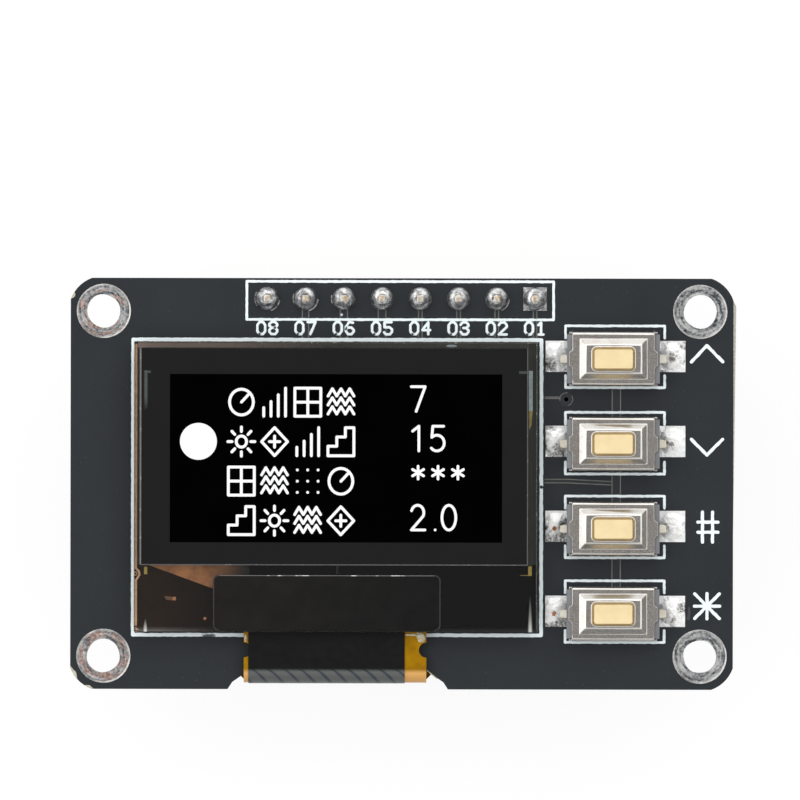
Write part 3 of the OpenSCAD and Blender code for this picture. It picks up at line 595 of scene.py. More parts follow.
dress("circuit_board", solder_mask(), 0.008)
dress("mounting_hole_pads", ring_metal, 0.015)
dress("header_strip", moulded("black_nylon", (24, 24, 26), 0.45), 0.06)
dress("header_solder", solder("joint_solder", (246, 246, 245), (142, 142, 144), 0.3, 0.4, 0.04))
for n in range(1, 9):
    dress(f"header_pin_{n}", pin_metal, 0.03)
for n in range(1, 5):
    dress(f"switch_{n}_base", base_plastic, 0.05)
    dress(f"switch_{n}_terminals", tin, 0.03)
    dress(f"switch_{n}_dome", steel)
    dress(f"switch_{n}_plunger", ivory, 0.05, 3)
    dress(f"switch_{n}_cover", cover_metal, 0.05, 4, clamp=False)
    dress(f"switch_{n}_solder", land_solder, 0.03)
    dress(f"capacitor_{n}", capacitor, 0.04)
    dress(f"resistor_{n}", resistor, 0.03)
dress("front_glass", clear_glass("display_glass", (0.96, 0.98, 0.97, 1)), 0.05)
dress("polarizer_film", dark_film("polarizer", (6, 6, 7), 0.12, 0.5, 0.6, 0.0006), 0.03)
dress("cap_glass", clear_glass("cap_glass", (0.8, 0.86, 0.84, 1)), 0.04)
dress("emitter_film", plain_tint("emitter", (70, 74, 84), 0.2, 0.6))
dress("desiccant_sheet", plain_tint("desiccant", (226, 224, 216), 0.8))
dress("driver_chip", plain_tint("silicon", (64, 66, 74), 0.18, 0.5), 0.02)
dress("light_shield_tape", tape_black, 0.03)
dress("adhesive_pad", moulded("adhesive", (30, 30, 30), 0.8, 0.1, 0.02))
dress("flex_cable", amber_flex())
dress("flex_cover_film", striped_film())
dress("flex_solder", fine_solder, 0.03)
dress("voltage_regulator", moulded("epoxy", (38, 38, 40), 0.6, 0.06, 0.006), 0.06)
dress("regulator_leads", tin, 0.02)
dress("component_solder", fine_solder, 0.03)


# Shapes in millimetres

def arc(cx, cy, r, start, end, count=12, ry=None):
    """Points on a circle, or on an ellipse of another height, between two angles in degrees."""
    angles = [math.radians(start + (end - start) * i / count) for i in range(count + 1)]
    return [(cx + r * math.cos(a), cy + (ry or r) * math.sin(a)) for a in angles]


def circle(cx, cy, radius, count):
    """Points round a circle, the first one not repeated."""
    return arc(cx, cy, radius, 0, 360, count)[:-1]


def rectangle(x0, y0, x1, y1):
    return [(x0, y0), (x1, y0), (x1, y1), (x0, y1)]


def rounded(cx, cy, w, h, r):
    """Outline of a rectangle with round corners, without its last point."""
    outline = []
    for turn, sx, sy in ((0, 1, 1), (90, -1, 1), (180, -1, -1), (270, 1, -1)):
        outline += arc(cx + sx * (w / 2 - r), cy + sy * (h / 2 - r), r, turn, turn + 90, 5)
    return outline


def capsule(a, b, width, grain=0.0):
    """Outline of a straight line with round ends, counter-clockwise; its sides waver by the grain."""
    heading = math.degrees(math.atan2(b[1] - a[1], b[0] - a[0]))
    ends = [arc(*spot, width / 2, side, side + 180, 6)
            for spot, side in ((b, heading - 90), (a, heading + 90))]
    outline = []
    for end, after in (ends, ends[::-1]):
        outline += end
        (x0, y0), (x1, y1) = end[-1], after[0]
        run = math.dist(end[-1], after[0])
        count = int(run / 0.12) if grain else 0
        for i in range(1, count):
            x = x0 + (x1 - x0) * i / count
            y = y0 + (y1 - y0) * i / count
            push = grain * noise.noise(Vector((x * 4, y * 4, width)))
            outline.append((x + push * (y1 - y0) / run, y - push * (x1 - x0) / run))
    return outline


def drawn(text):
    """Paths in a unit box, written as points in hundredths, with a bar between paths."""
    paths = [[point.split(",") for point in path.split()] for path in text.split("|")]
    return [[(int(u) / 100, int(v) / 100) for u, v in path] for path in paths]


def placed(paths, x, y, w, h):
    """Paths in a unit box, moved and stretched to their place."""
    return [[(x + u * w, y + v * h) for u, v in path] for path in paths]


def laid(face, proud):
    """Levels of a thin layer that is sunk a little into a face and stands proud of it."""
    return face - 0.01, face + proud


def add_object(name, data):
    made = bpy.data.objects.new(name, data)
    bpy.context.scene.collection.objects.link(made)
    return made


def finish_piece(name, mesh, finish):
    """Puts a mesh into the scene on the board, with its finish."""
    mesh.materials.append(finish.material)
    made = add_object(name, mesh)
    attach(made, "board")
    return made


class Piece:
    """Closed solids gathered into one mesh."""

    def __init__(self):
        self.points = []
        self.faces = []
        self.strokes = 0

    def walls(self, first, second, count):
        """Faces between two loops, each given by the number of its first point."""
        for i in range(count):
            j = (i + 1) % count
            self.faces.append([first + i, first + j, second + j, second + i])

    def prism(self, outline, low, high, top_outline=None):
        """A solid over an outline, whose top may be another outline of as many points."""
        start = len(self.points)
        count = len(outline)
        self.points += [(x, y, low) for x, y in outline]
        self.points += [(x, y, high) for x, y in top_outline or outline]
        self.faces.append([start + i for i in reversed(range(count))])
        self.faces.append([start + count + i for i in range(count)])
        self.walls(start, start + count, count)
        return self

    def stroke(self, a, b, width, root, crest, slope=0.0, grain=0.0):
        """A raised line from a root level up or down to its crest, whose sides may slope."""
        self.strokes += 1
        lift = math.copysign(stroke_step * (self.strokes % 7), crest - root)
        foot = capsule(a, b, width, grain)
        ridge = capsule(a, b, width - 2 * slope, grain) if slope else foot
        if crest > root:
            return self.prism(foot, root, crest + lift, ridge)
        return self.prism(ridge, crest + lift, root, foot)

    def line(self, path, width, root, crest, slope=0.0, grain=0.0, closed=False):
        ends = list(path[1:]) + ([path[0]] if closed else [])
        for a, b in zip(path, ends):
            self.stroke(a, b, width, root, crest, slope, grain)
        return self

    def disc(self, x, y, radius, low, high, count=32):
        return self.prism(circle(x, y, radius, count), low, high)

    def ring(self, x, y, inner, outer, low, high, count=28):
        return self.tube(circle(x, y, outer, count), circle(x, y, inner, count), low, high)

    def tube(self, outer, inner, low, high):
        """A flat ring between two outlines of as many points."""
        start = len(self.points)
        count = len(outer)
        for outline, z in ((inner, low), (outer, low), (outer, high), (inner, high)):
            self.points += [(x, y, z) for x, y in outline]
        for loop in range(4):
            self.walls(start + loop * count, start + (loop + 1) % 4 * count, count)
        return self

    def skin(self, loops):
        """A closed skin over loops of as many points, with a face at each end."""
        start = len(self.points)
        count = len(loops[0])
        last = start + (len(loops) - 1) * count
        for loop in loops:
            self.points += loop
        self.faces.append([start + i for i in range(count)])
        self.faces.append([last + i for i in range(count)])
        for first in range(start, last, count):
            self.walls(first, first + count, count)
        return self

    def make(self, name, finish, slot=None):
        mesh = bpy.data.meshes.new(name)
        mesh.from_pydata([[c * MM for c in p] for p in self.points], [], self.faces)
        cleaned = bmesh.new()
        cleaned.from_mesh(mesh)
        bmesh.ops.recalc_face_normals(cleaned, faces=cleaned.faces)
        cleaned.to_mesh(mesh)
        cleaned.free()
        return finish_piece(name, mesh, finish)


def plates(name, finish, slot, levels, *outlines):
    """One piece of flat solids over outlines, between two levels."""
    piece = Piece()
    for outline in outlines:
        piece.prism(outline, *levels)
    piece.make(name, finish, slot)


def lines(name, finish, slot, levels, width, *paths, **form):
    """One piece of strokes along paths, between two levels."""
    piece = Piece()
    for path in paths:
        piece.line(path, width, *levels, **form)
    piece.make(name, finish, slot)


# White print on the board

silk_grain = 0.028
thin_line = 0.17
frame_line = 0.24


def print_lines(name, *paths, width=thin_line, closed=False):
    lines(name, silk, None, (front, front + silk_t), width, *paths, grain=silk_grain, closed=closed)


print_lines("header_outline", rectangle(-10.31, 10.9, 10.06, 13.43), closed=True)

left, low, right, high = (-17.85, -10.05, 9.26, 9.56)
gap_left, gap_right = (-10.44, 1.68)
panel_frame = [(gap_left, low), (left, low), (left, high), (right, high), (right, low), (gap_right, low)]
print_lines("panel_outline", panel_frame, width=frame_line)

# Brackets round the switches, each printed at its own height
left, right = (10.86, 17.44)
bracket_rise = 2.045
bracket_leg = 0.8
for n, y in enumerate((8.46, 2.72, -2.84, -8.46), 1):
    brackets = []
    for end in (1, -1):
        rail = y + end * bracket_rise
        foot = rail - end * bracket_leg
        brackets.append([(left, foot), (left, rail), (right, rail), (right, foot)])
    print_lines(f"switch_{n}_outline", *brackets)

# Turned-up edge round each button's opening: full sizes, corner, width and slope
lip_x = 2.86
lip_y = 1.59
lip_r = 0.3
lip_w = 0.11
lip_slope = 0.045
lip_levels = (plateau_z - 0.006, plateau_z + 0.013)
for n, centre in switches.items():
    lip = rounded(centre.x, centre.y, lip_x, lip_y, lip_r)
    lines(f"switch_{n}_opening_edge", cover_metal, "switch_cover", lip_levels, lip_w, lip,
          slope=lip_slope, closed=True)

# Ends of the terminals, which stand out of the solder: from the base, to a step, to the tip, and half widths
tip_base = 3.07
tip_step = 3.32
tip_end = 3.53
tip_half = 0.28
tip_end_half = 0.25
tip_corner = 0.025
tip_bevel = 0.03
tip_low = front + 0.19
tip_proud = 0.015


def tip_outline(centre, side, inset):
    """Plan of a terminal's end: full width at the base, narrower at its tip."""
    wide = tip_half - inset
    narrow = tip_end_half - inset
    end = tip_end - inset
    half = [(tip_base, wide), (tip_step, wide), (tip_step + tip_corner, narrow), (end - tip_corner, narrow),
            (end, narrow - tip_corner)]
    outline = half + [(x, -y) for x, y in reversed(half)]
    return [(centre.x + side * x, centre.y + y) for x, y in outline]


for n, centre in switches.items():
    tip_high = box(f"switch_{n}_solder")[1].z + tip_proud
    tips = Piece()
    for side in (-1, 1):
        tips.prism(tip_outline(centre, side, 0), tip_low, tip_high, tip_outline(centre, side, tip_bevel))
    tips.make(f"switch_{n}_terminal_tips", tin, "tin")

# Sprung discs under the buttons: height, sheet, and the rings and points of each disc
snap_rise = 0.42
snap_t = 0.06
snap_rings = 8
snap_points = 48

# Each is a domed sheet, round with two straight sides, under its button
for n in switches:
    low, high = box(f"switch_{n}_dome")
    centre = (low + high) / 2
    foot_r = (high.x - low.x) / 2
    half_w = (high.y - low.y) / 2
    ball_r = (foot_r ** 2 + snap_rise ** 2) / (2 * snap_rise)
    ball_z = low.z + snap_rise - ball_r
    shares = [0.02] + [i / snap_rings for i in range(1, snap_rings + 1)]
    shells = [(ball_r, s) for s in shares] + [(ball_r - snap_t, s) for s in reversed(shares)]
    loops = []
    for radius, share in shells:
        floor_r = math.sqrt(radius ** 2 - (low.z - ball_z) ** 2)
        loop = []
        for cos, sin in circle(0, 0, 1, snap_points):
            reach = share * min(floor_r, half_w / max(abs(sin), 0.01))
            rise = math.sqrt(radius ** 2 - reach ** 2)
            loop.append((centre.x + reach * cos, centre.y + reach * sin, ball_z + rise))
        loops.append(loop)
    disc = Piece().skin(loops).make(f"switch_{n}_snap_disc", steel, "spring_steel")
    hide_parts(f"switch_{n}_dome")
    foot = Vector((centre.x, centre.y, low.z)) * MM
    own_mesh(disc)

# Signs beside the switches: up, down, hash and star
sign_w = 0.21
print_lines("sign_up", [(19.21, 8.12), (20.24, 9.21), (21.3, 8.14)], width=sign_w)
print_lines("sign_down", [(19.22, 2.99), (20.26, 1.94), (21.3, 2.99)], width=sign_w)
uprights = [[(x, -3.84), (x, -1.84)] for x in (19.97, 20.64)]
crossbars = [[(19.66, y), (21.0, y)] for y in (-2.51, -3.18)]
print_lines("sign_hash", *uprights, *crossbars, width=sign_w)
arms = [arc(20.28, -8.09, reach, turn, turn + 180, 1)
        for turn, reach in ((0, 0.84), (45, 1.16), (90, 0.84), (135, 1.16))]
print_lines("sign_star", *arms, width=sign_w)

# Plain pin numbers: strokes in a unit box
DIGITS = {
    "0": drawn("28,0 0,25 0,75 28,100 72,100 100,75 100,25 72,0 28,0"),
    "1": drawn("15,78 50,100 50,0 | 20,0 80,0"),
    "2": drawn("0,78 25,100 75,100 100,78 100,62 0,0 100,0"),
    "3": drawn("0,80 25,100 75,100 100,80 100,70 70,53 35,53 | 70,53 100,34 100,20 75,0 25,0 0,20"),
    "4": drawn("75,0 75,100 0,35 100,35"),
    "5": drawn("95,100 5,100 5,58 70,58 100,40 100,20 75,0 20,0 0,15"),
    "6": drawn("90,95 40,100 0,60 0,25 28,0 72,0 100,22 100,35 70,55 20,55 0,40"),
    "7": drawn("0,100 100,100 35,0"),
    "8": drawn("30,53 0,70 0,82 25,100 75,100 100,82 100,70 70,53 30,53 "
               "0,34 0,20 25,0 75,0 100,20 100,34 70,53"),
}
label_low = 9.93
label_h = 0.8
label_w = 0.52
label_pitch = 0.8
for index, x in enumerate(pin_x):
    number = len(pin_x) - index
    strokes = []
    for place, digit in enumerate(f"{number:02d}"):
        start = x - label_pitch / 2 - label_w / 2 + place * label_pitch
        strokes += placed(DIGITS[digit], start, label_low, label_w, label_h)
    print_lines(f"pin_number_{number}", *strokes)


# Copper tracks under the lacquer: low ridges whose rims show as paler lines

rim_w = 0.065
rim_t = trace_t + 0.002
track_slope = 0.045


def beside(path, offset):
    """The path moved sideways, segment by segment."""
    moved = []
    for (x0, y0), (x1, y1) in zip(path, path[1:]):
        run = math.dist((x0, y0), (x1, y1))
        dx = -offset * (y1 - y0) / run
        dy = offset * (x1 - x0) / run
        moved.append([(x0 + dx, y0 + dy), (x1 + dx, y1 + dy)])
    return moved


def add_tracks(name, tracks, face, outward):
    """Tracks on a face of the board, each a path and a width, and their rims as a second piece."""
    ridges = Piece()
    rims = []
    for path, width in tracks:
        ridges.line(path, width, face, face + outward * trace_t, track_slope)
        for side in (-1, 1):
            rims += beside(path, side * (width - rim_w) / 2)
    ridges.make(name, copper_mask, "solder_mask")
    lines(name + "_rims", track_rim, "solder_mask", (face, face + outward * rim_t), rim_w, *rims)


column_x = 14.24
via_x, via_y = (10.91, 5.63)
front_tracks = [
    ([(column_x, switches[1].y), (column_x, switches[4].y)], 0.62),
    ([(9.5, 5.73), (10.5, 5.73)], 0.16),
    ([(9.5, 0.2), (11.0, 0.2), (13.9, 0.06)], 0.3),
]
pin_track_low = 9.3
pin_track_w = (0.49, 0.55, 0.58, 0.31, 0.31, 0.31, 0.31)
front_tracks += [([(x, pin_y), (x, pin_track_low)], width) for x, width in zip(pin_x[1:], pin_track_w)]
add_tracks("tracks", front_tracks, front, 1)

via_r, via_rim_r, via_bore_r = (0.46, 0.43, 0.14)
via_rim_w = 0.05
stain_top = front + 0.006
via_ring = Piece().ring(via_x, via_y, via_bore_r, via_r, front, front + trace_t)
via_ring.make("via_ring", copper_mask, "solder_mask")
via_arcs = [arc(via_x, via_y, via_rim_r, start, end) for start, end in ((80, 190), (-70, 30))]
lines("via_rims", track_rim, "solder_mask", (front, front + rim_t), via_rim_w, *via_arcs)
Piece().disc(via_x, via_y, via_bore_r, front, stain_top).make("via_bore", black, "solder_mask")
Piece().disc(9.27, -0.2, 0.11, front, front + 0.04).make("via_on_outline", copper_mask, "solder_mask")
Piece().disc(-4.03, 11.22, 0.09, front, front + 0.03).make("bright_via", land_solder, "tin")

# Slivers of bare tin round some of the header joints: pin, then start and end angle
slivers = ((1, 150, 215), (1, -75, -10), (2, 160, 205), (2, -70, -5), (3, 165, 200), (7, -70, -5))
sliver_r, sliver_w, sliver_t = (0.83, 0.055, 0.02)
sliver_arcs = [arc(pin_x[pin - 1], pin_y, sliver_r, start, end) for pin, start, end in slivers]
lines("land_slivers", land_solder, "tin", (front, front + sliver_t), sliver_w, *sliver_arcs)

# Flux haze at the lowest switch's right land
haze_outline = [(18.92, -8.95), (19.03, -8.5), (19.0, -8.2), (19.14, -8.12), (19.2, -8.5), (19.12, -9.05)]
flux_haze = plain_tint("flux_haze", (66, 68, 70), 0.6, cloud=0.15)
plates("flux_haze", flux_haze, "solder_mask", (front, stain_top), haze_outline)

# Pale fibre where the lacquer chipped at the corners: corner signs, start and end angle, depth
chips = ((-1, 1, 21, 33, 0.18), (-1, -1, 17, 42, 0.2), (-1, -1, 58, 74, 0.16))
chip_steps = 8
edge_gap = 0.01
chip_levels = (front - 0.02, front + 0.008)
for number, (sx, sy, start, end, depth) in enumerate(chips, 1):
    rng = random.Random(number)
    outer = []
    inner = []
    for i in range(chip_steps + 1):
        turn = math.radians(start + (end - start) * i / chip_steps)
        near = corner_r - 0.02 - depth * math.sin(math.pi * i / chip_steps) * rng.uniform(0.7, 1.0)
        for loop, radius in ((outer, corner_r - edge_gap), (inner, near)):
            x = min(hole_x + radius * math.cos(turn), edge_right - edge_gap)
            y = min(hole_y + radius * math.sin(turn), board_high.y - edge_gap)
            loop.append((sx * x, sy * y))
    plates(f"corner_chip_{number}", raw_epoxy, "solder_mask", chip_levels, outer + inner[::-1])

# Tin that stands a little into each mounting hole, uneven round the edge
tin_points = 28
tin_reach, tin_waver, tin_least = (0.05, 0.06, 0.012)
tin_levels = (ring_high.z - 0.03, ring_high.z + 0.004)
for number, (sx, sy) in enumerate(((-1, 1), (1, 1), (-1, -1), (1, -1)), 1):
    outer = []
    inner = []
    for way_x, way_y in circle(0, 0, 1, tin_points):
        reach = tin_reach + tin_waver * noise.noise(Vector((way_x * 1.3, way_y * 1.3, 3.7 * number)))
        for loop, radius in ((outer, hole_r + 0.04), (inner, hole_r - max(reach, tin_least))):
            loop.append((sx * hole_x + way_x * radius, sy * hole_y + way_y * radius))
    Piece().tube(outer, inner, *tin_levels).make(f"hole_edge_{number}", ring_metal, "tin")

# Pale fibre along the slanted edge of the flex notch
lines("notch_fibre", raw_epoxy, "solder_mask", (front - 0.04, stain_top), 0.07,
      [(1.74, -12.42), (2.36, -12.94)], grain=0.03)


# Back of the board: outlines of the chip parts, tracks and vias

outline_w = 0.16
outline_gap = 0.35
corner_gap = 0.3
corner_half = 0.2
outlines = []
for name in [f"{kind}_{n}" for kind in ("capacitor", "resistor") for n in range(1, 5)]:
    low, high = box(name)
    outlines += [[(x, low.y), (x, high.y)] for x in (low.x - outline_gap, high.x + outline_gap)]
low, high = box("voltage_regulator")
for y in (low.y + corner_half, high.y - corner_half):
    for x in (low.x - corner_gap, high.x + corner_gap):
        outlines.append([(x, y - corner_half), (x, y + corner_half)])
lines("back_outlines", silk, None, (back, back - silk_t), outline_w, *outlines, grain=silk_grain)

cap_x = [middle(f"capacitor_{n}").x for n in range(1, 5)]
res_x = [middle(f"resistor_{n}").x for n in range(1, 5)]
bus_y = -2.4
drop_y = 2.0
feed = (6.29, -1.1)
column_end = (column_x, -6.0)
back_tracks = [([(x, -7.4), (x, -6.4)], 0.4) for x in cap_x]
back_tracks += [([(x, -4.4), (x, bus_y)], 0.4) for x in cap_x]
back_tracks += [([(cap_x[0], bus_y), (cap_x[-1], bus_y)], 0.5),
                ([(cap_x[-1], bus_y), (5.0, bus_y), feed], 0.5)]
back_tracks += [([(x, 9.6), (x, pin_y)], 0.31) for x in res_x]
back_tracks += [([(x, 7.7), (x, drop_y)], 0.31) for x in res_x]
back_tracks += [([(-13.0, 9.1), (-12.0, 10.1), (-9.9, 10.1), (pin_x[0], pin_y)], 0.5),
                ([(pin_x[6], pin_y), (pin_x[6], 9.8), (via_x, 6.4), (via_x, via_y)], 0.31),
                ([(pin_x[7], pin_y), (pin_x[7], 10.1), (column_x, 5.2), column_end], 0.5)]
add_tracks("back_tracks", back_tracks, back, -1)
back_bore_r = 0.16
rings = Piece()
bores = Piece()
for x, y in [(x, drop_y) for x in res_x] + [(via_x, via_y), column_end, feed]:
    rings.ring(x, y, back_bore_r, 0.42, back - trace_t - 0.004, back)
    bores.disc(x, y, back_bore_r, back - 0.006, back)
rings.make("back_vias", copper_mask, "solder_mask")
bores.make("back_via_bores", black, "solder_mask")


# Conductors in the flex's tail: straight from the contacts, then drawn together under the cover film

contact_count = 30
contact_w = 0.34
conductor_w = 0.17
conductor_levels = (flex_low.z + 0.01, flex_low.z - 0.004)
tail_x = (tail_low.x + tail_high.x) / 2
tail_spread = (tail_high.x - tail_low.x - contact_w) / 2
tail_y = tail_low.y + 1.2
bend_y = tail_high.y - 2.1
neck_x = (sleeve_low.x + sleeve_high.x) / 2
neck_y = flex_low.y + 1.25
neck_spread = (sleeve_high.x - sleeve_low.x) / 2 - 0.5
routes = []
for n in range(contact_count):
    share = 2 * n / (contact_count - 1) - 1
    x = tail_x + share * tail_spread
    routes.append([(x, tail_y), (x, bend_y), (neck_x + share * neck_spread, neck_y)])
flex_copper = plain_tint("flex_copper", (132, 86, 8), 0.35, level=0.2, cloud=0.6)
lines("flex_conductors", flex_copper, "polyimide", conductor_levels, conductor_w, *routes)


# Front of the panel: dark window and lit shapes

window_t = 0.006
window_top = film_front + window_t
plates("screen_window", black, "emitter", laid(film_front, window_t), rectangle(-15.38, -3.89, 6.65, 7.27))
lit_levels = (window_top - 0.002, window_top + 0.004)
cursor_x, cursor_y, cursor_r = (-13.49, 2.8, 1.225)
Piece().disc(cursor_x, cursor_y, cursor_r, *lit_levels, count=64).make("screen_cursor", lit, "emitter")

# Plain signs for the menu, as strokes in unit cells: dial, bars, wave, gem, grid, sun, steps and dots
CELLS = {
    "dial": [arc(0.5, 0.5, 0.46, 0, 360, 24), [(0.5, 0.5), (0.78, 0.78)], [(0.5, 0.5), (0.5, 0.501)]],
    "bars": [[(x, 0), (x, top)] for x, top in ((0.08, 0.3), (0.36, 0.52), (0.64, 0.76), (0.92, 1.0))],
    "wave": [[(i / 6, base + 0.26 * (i % 2)) for i in range(7)] for base in (0.08, 0.4, 0.72)],
    "gem": drawn("50,100 100,50 50,0 0,50 50,100 | 50,70 50,30 | 30,50 70,50"),
    "grid": drawn("0,0 100,0 100,100 0,100 0,0 | 0,50 100,50 | 50,0 50,100"),
    "sun": [arc(0.5, 0.5, 0.2, 0, 360, 16)] + [
        [arc(0.5, 0.5, r, 45 * k, 45 * k, 1)[0] for r in (0.36, 0.52)] for k in range(8)],
    "steps": drawn("0,0 0,34 34,34 34,67 67,67 67,100 100,100 100,0 0,0"),
    "dots": [[(x, y), (x, y + 0.001)] for x in (0.1, 0.5, 0.9) for y in (0.1, 0.5, 0.9)],
}
ROWS = (("dial", "bars", "grid", "wave"), ("sun", "gem", "bars", "steps"), ("grid", "wave", "dots", "dial"),
        ("steps", "sun", "wave", "gem"))
row_pitch = 2.62
row_low = 4.48
cell_pitch = 2.2
cell_w = 1.72
cell_h = 1.86
cell_start = -11.5
cell_stroke = 0.19
for row, cells in enumerate(ROWS):
    bottom = row_low - row * row_pitch
    strokes = []
    for column, cell in enumerate(cells):
        strokes += placed(CELLS[cell], cell_start + column * cell_pitch, bottom, cell_w, cell_h)
    lines(f"screen_label_{row + 1}", lit, "emitter", lit_levels, cell_stroke, *strokes)

# Plain values: rounded digits, stars and a point in a unit box
ROUND = {
    "7": DIGITS["7"],
    "1": [[(0.1, 0.8), (0.55, 1), (0.55, 0)]],
    "5": [[(0.9, 1), (0.12, 1), (0.05, 0.55)] + arc(0.42, 0.32, 0.53, 130, -140, 14, 0.32)],
    "2": [arc(0.47, 0.7, 0.45, 165, -30, 12, 0.3) + [(0.02, 0), (1, 0)]],
    "0": [arc(0.5, 0.5, 0.5, 0, 360, 28)],
    ".": [[(0.3, 0), (0.3, 0.001)]],
    "*": [arc(0.5, 0.72, 0.46, turn, turn + 180, 1, 0.26) for turn in (90, 30, -30)],
}
value_start = 0.62
value_h = 1.64
value_rise = 0.33
value_stroke = 0.18
value_w = 0.92
value_pitch = 1.32
point_share = 0.55
for row, value in enumerate(("7", "15", "***", "2.0")):
    bottom = row_low + value_rise - row * row_pitch
    strokes = []
    x = value_start
    for digit in value:
        strokes += placed(ROUND[digit], x, bottom, value_w, value_h)
        x += value_pitch * (point_share if digit == "." else 1)
    lines(f"screen_value_{row + 1}", lit, "emitter", lit_levels, value_stroke, *strokes)


# Prints on the rear of the glass: they sit just inside its rear face, in three levels

backing = (glass_rear + 0.01, glass_rear + 0.02)
in_glass = (glass_rear + 0.022, glass_rear + 0.03)
over_print = (in_glass[1], in_glass[1] + 0.006)


def glass_print(name, finish, *outlines, levels=in_glass):
    plates(name, finish, "display_glass", levels, *outlines)


inset = 0.06
lap = 0.1
border_left = glass_low.x + inset
border_right = glass_high.x - inset
border_top = glass_high.y - inset
ledge_top = film_low.y + 0.05
plates("ledge_backing", ledge_coat(), "black_tape", backing,
       rectangle(border_left, glass_low.y + 0.012, border_right, ledge_top))
plates("glass_border", plain_tint("margin_dark", (22, 26, 29), 0.5), "black_tape", backing,
       rectangle(border_left, ledge_top, film_low.x + lap, border_top),
       rectangle(film_high.x - lap, ledge_top, border_right, border_top),
       rectangle(film_low.x + lap, film_high.y - lap, film_high.x - lap, border_top))

# Glossy black print on the ledge's front, right of the tape and above it, clear of the marks
gloss_low = glass_low.y + 0.45
gloss_top = film_low.y - 0.02
gloss_side = 8.3
notch_x, notch_y = (7.8, -6.2)
tape_gap = 0.03
tape_right = tape_high.x + tape_gap
fan_right = tape_low.x + 2.4
above_tape = [rectangle(start, tape_high.y + tape_gap, end, gloss_top)
              for start, end in ((fan_right + tape_gap, -4.45), (-4.07, tape_right))]
plates("ledge_gloss", dark_film("ledge_gloss", (2, 2, 2), 0.04, 0.42, 0.6, 0.0003), "black_tape",
       laid(glass_front, 0.003),
       [(tape_right, gloss_low), (gloss_side, gloss_low), (gloss_side, notch_y), (notch_x, notch_y),
        (notch_x, gloss_top), (tape_right, gloss_top)], *above_tape)

fan_low = -7.08
glass_print("glass_fan_out", fan_out_metal(),
            [(-16.78, film_low.y), (tape_low.x + 0.3, fan_low), (fan_right, fan_low),
             (fan_right, film_low.y)])
bus_x = glass_low.x + 0.14
bus = Piece()
bus.line([(bus_x, 9.2), (bus_x, -5.62), (bus_x + 0.2, -5.84), (bus_x + 0.23, -6.06), (bus_x, -6.42),
          (bus_x, -9.4)], 0.14, *in_glass)
bus.line(arc(bus_x - 0.02, -5.98, 0.08, 0, 360, 10, 0.12), 0.05, *in_glass)
bus.prism([(bus_x - 0.03, -9.72), (bus_x + 0.21, -9.72), (bus_x - 0.03, -9.5)], *in_glass)
bus.make("glass_bus", plain_tint("bus_metal", (246, 196, 152), 0.3, 0.2), "display_glass")
glass_print("glass_top_haze", fading_haze(),
            rectangle(glass_low.x + 0.25, film_high.y + 0.03, 8.4, film_high.y + 0.36))
side_x = film_high.x + 0.06
side_end = film_high.x + 0.3
glass_print("glass_side_strip", plain_tint("mark_olive", (44, 40, 22), 0.4),
            rectangle(side_x, film_low.y, side_end, film_high.y))

glass_print("glass_brown_marks", plain_tint("mark_brown", (216, 146, 92), 0.4),
            rectangle(-15.2, -7.75, -14.97, -7.52), circle(-13.05, -8.95, 0.1, 32))
glass_print("glass_brown_smear", plain_tint("mark_dim", (116, 80, 56), 0.4),
            [(-15.76, -7.46), (-15.62, -7.7), (-15.21, -7.76), (-15.21, -7.52)],
            rectangle(-4.36, -5.98, -4.16, film_low.y))

# Alignment marks on the film and beside it
mark_high = 7.51
plates("film_marks", soft_mark(), "polarizer", laid(film_front, 0.004),
       [(-17.11, mark_high), (-17.11, 4.79), (-16.95, 4.9), (-16.83, 5.1), (-16.83, 7.34), (-16.65, 7.34),
        (-16.65, mark_high)],
       rectangle(7.77, 7.27, film_high.x - 0.06, mark_high))
glass_print("glass_pale_mark", pale_mark_and_glint, rectangle(film_high.x + 0.05, 4.85, side_end, mark_high),
            levels=over_print)
yellow = Piece()
for outline in ([(side_x + 0.02, 3.6), (side_x + 0.16, 3.9), (side_x + 0.24, 4.84), (side_x, 4.84)],
                rectangle(-17.09, -6.02, -16.88, -5.53), rectangle(8.39, -6.09, 8.63, -5.46)):
    yellow.prism(outline, *over_print)
yellow.stroke((7.86, -6.06), (8.4, -6.06), 0.05, *over_print)
yellow.make("glass_yellow_marks", plain_tint("mark_yellow", (204, 176, 78), 0.4), "display_glass")

# Dark strip on the end of the flex's film where it meets the glass: painted shade at the glass's foot
plates("glass_foot_shade", tape_black, "black_tape", (glass_rear + 0.045, glass_rear + 0.056),
       rectangle(sleeve_low.x, glass_low.y - 0.07, sleeve_high.x, glass_low.y - 0.002))

# Painted highlights on the cut edges that catch the light
rim = 0.035
edge_left = film_low.x + rim
edge_end = film_high.x - rim
edge_top = film_high.y - rim
lines("film_edge_highlights", glinting_edge("film_rim_highlight", (88, 88, 91), (136, 136, 136), 0.62), "polarizer",
      laid(film_front, 0.003), 2 * rim,
      [(edge_left, film_low.y + rim), (edge_end, film_low.y + rim), (edge_end, edge_top)])
lines("film_side_edge_highlight", glinting_edge("film_side_rim_highlight", (118, 116, 112), (160, 158, 152), 0.6), "polarizer",
      laid(film_front, 0.002), 3 * rim, [(edge_left, edge_top), (edge_left, film_low.y + 3 * rim)])
tape_r = 0.38
bend_r = tape_r - rim
left = tape_low.x + tape_r
right = tape_high.x - tape_r
low = tape_low.y + tape_r
high = tape_high.y - tape_r
on_tape = laid(tape_high.z, 0.003)
lines("tape_edge_highlights", glinting_edge("tape_rim_highlight", (50, 50, 49), (110, 110, 107), 0.68), "black_tape",
      on_tape, 2 * rim,
      arc(left, low, bend_r, 270, 180) + arc(left, high, bend_r, 180, 90),
      arc(right, high, bend_r, 90, 0) + arc(right, low, bend_r, 0, -90))
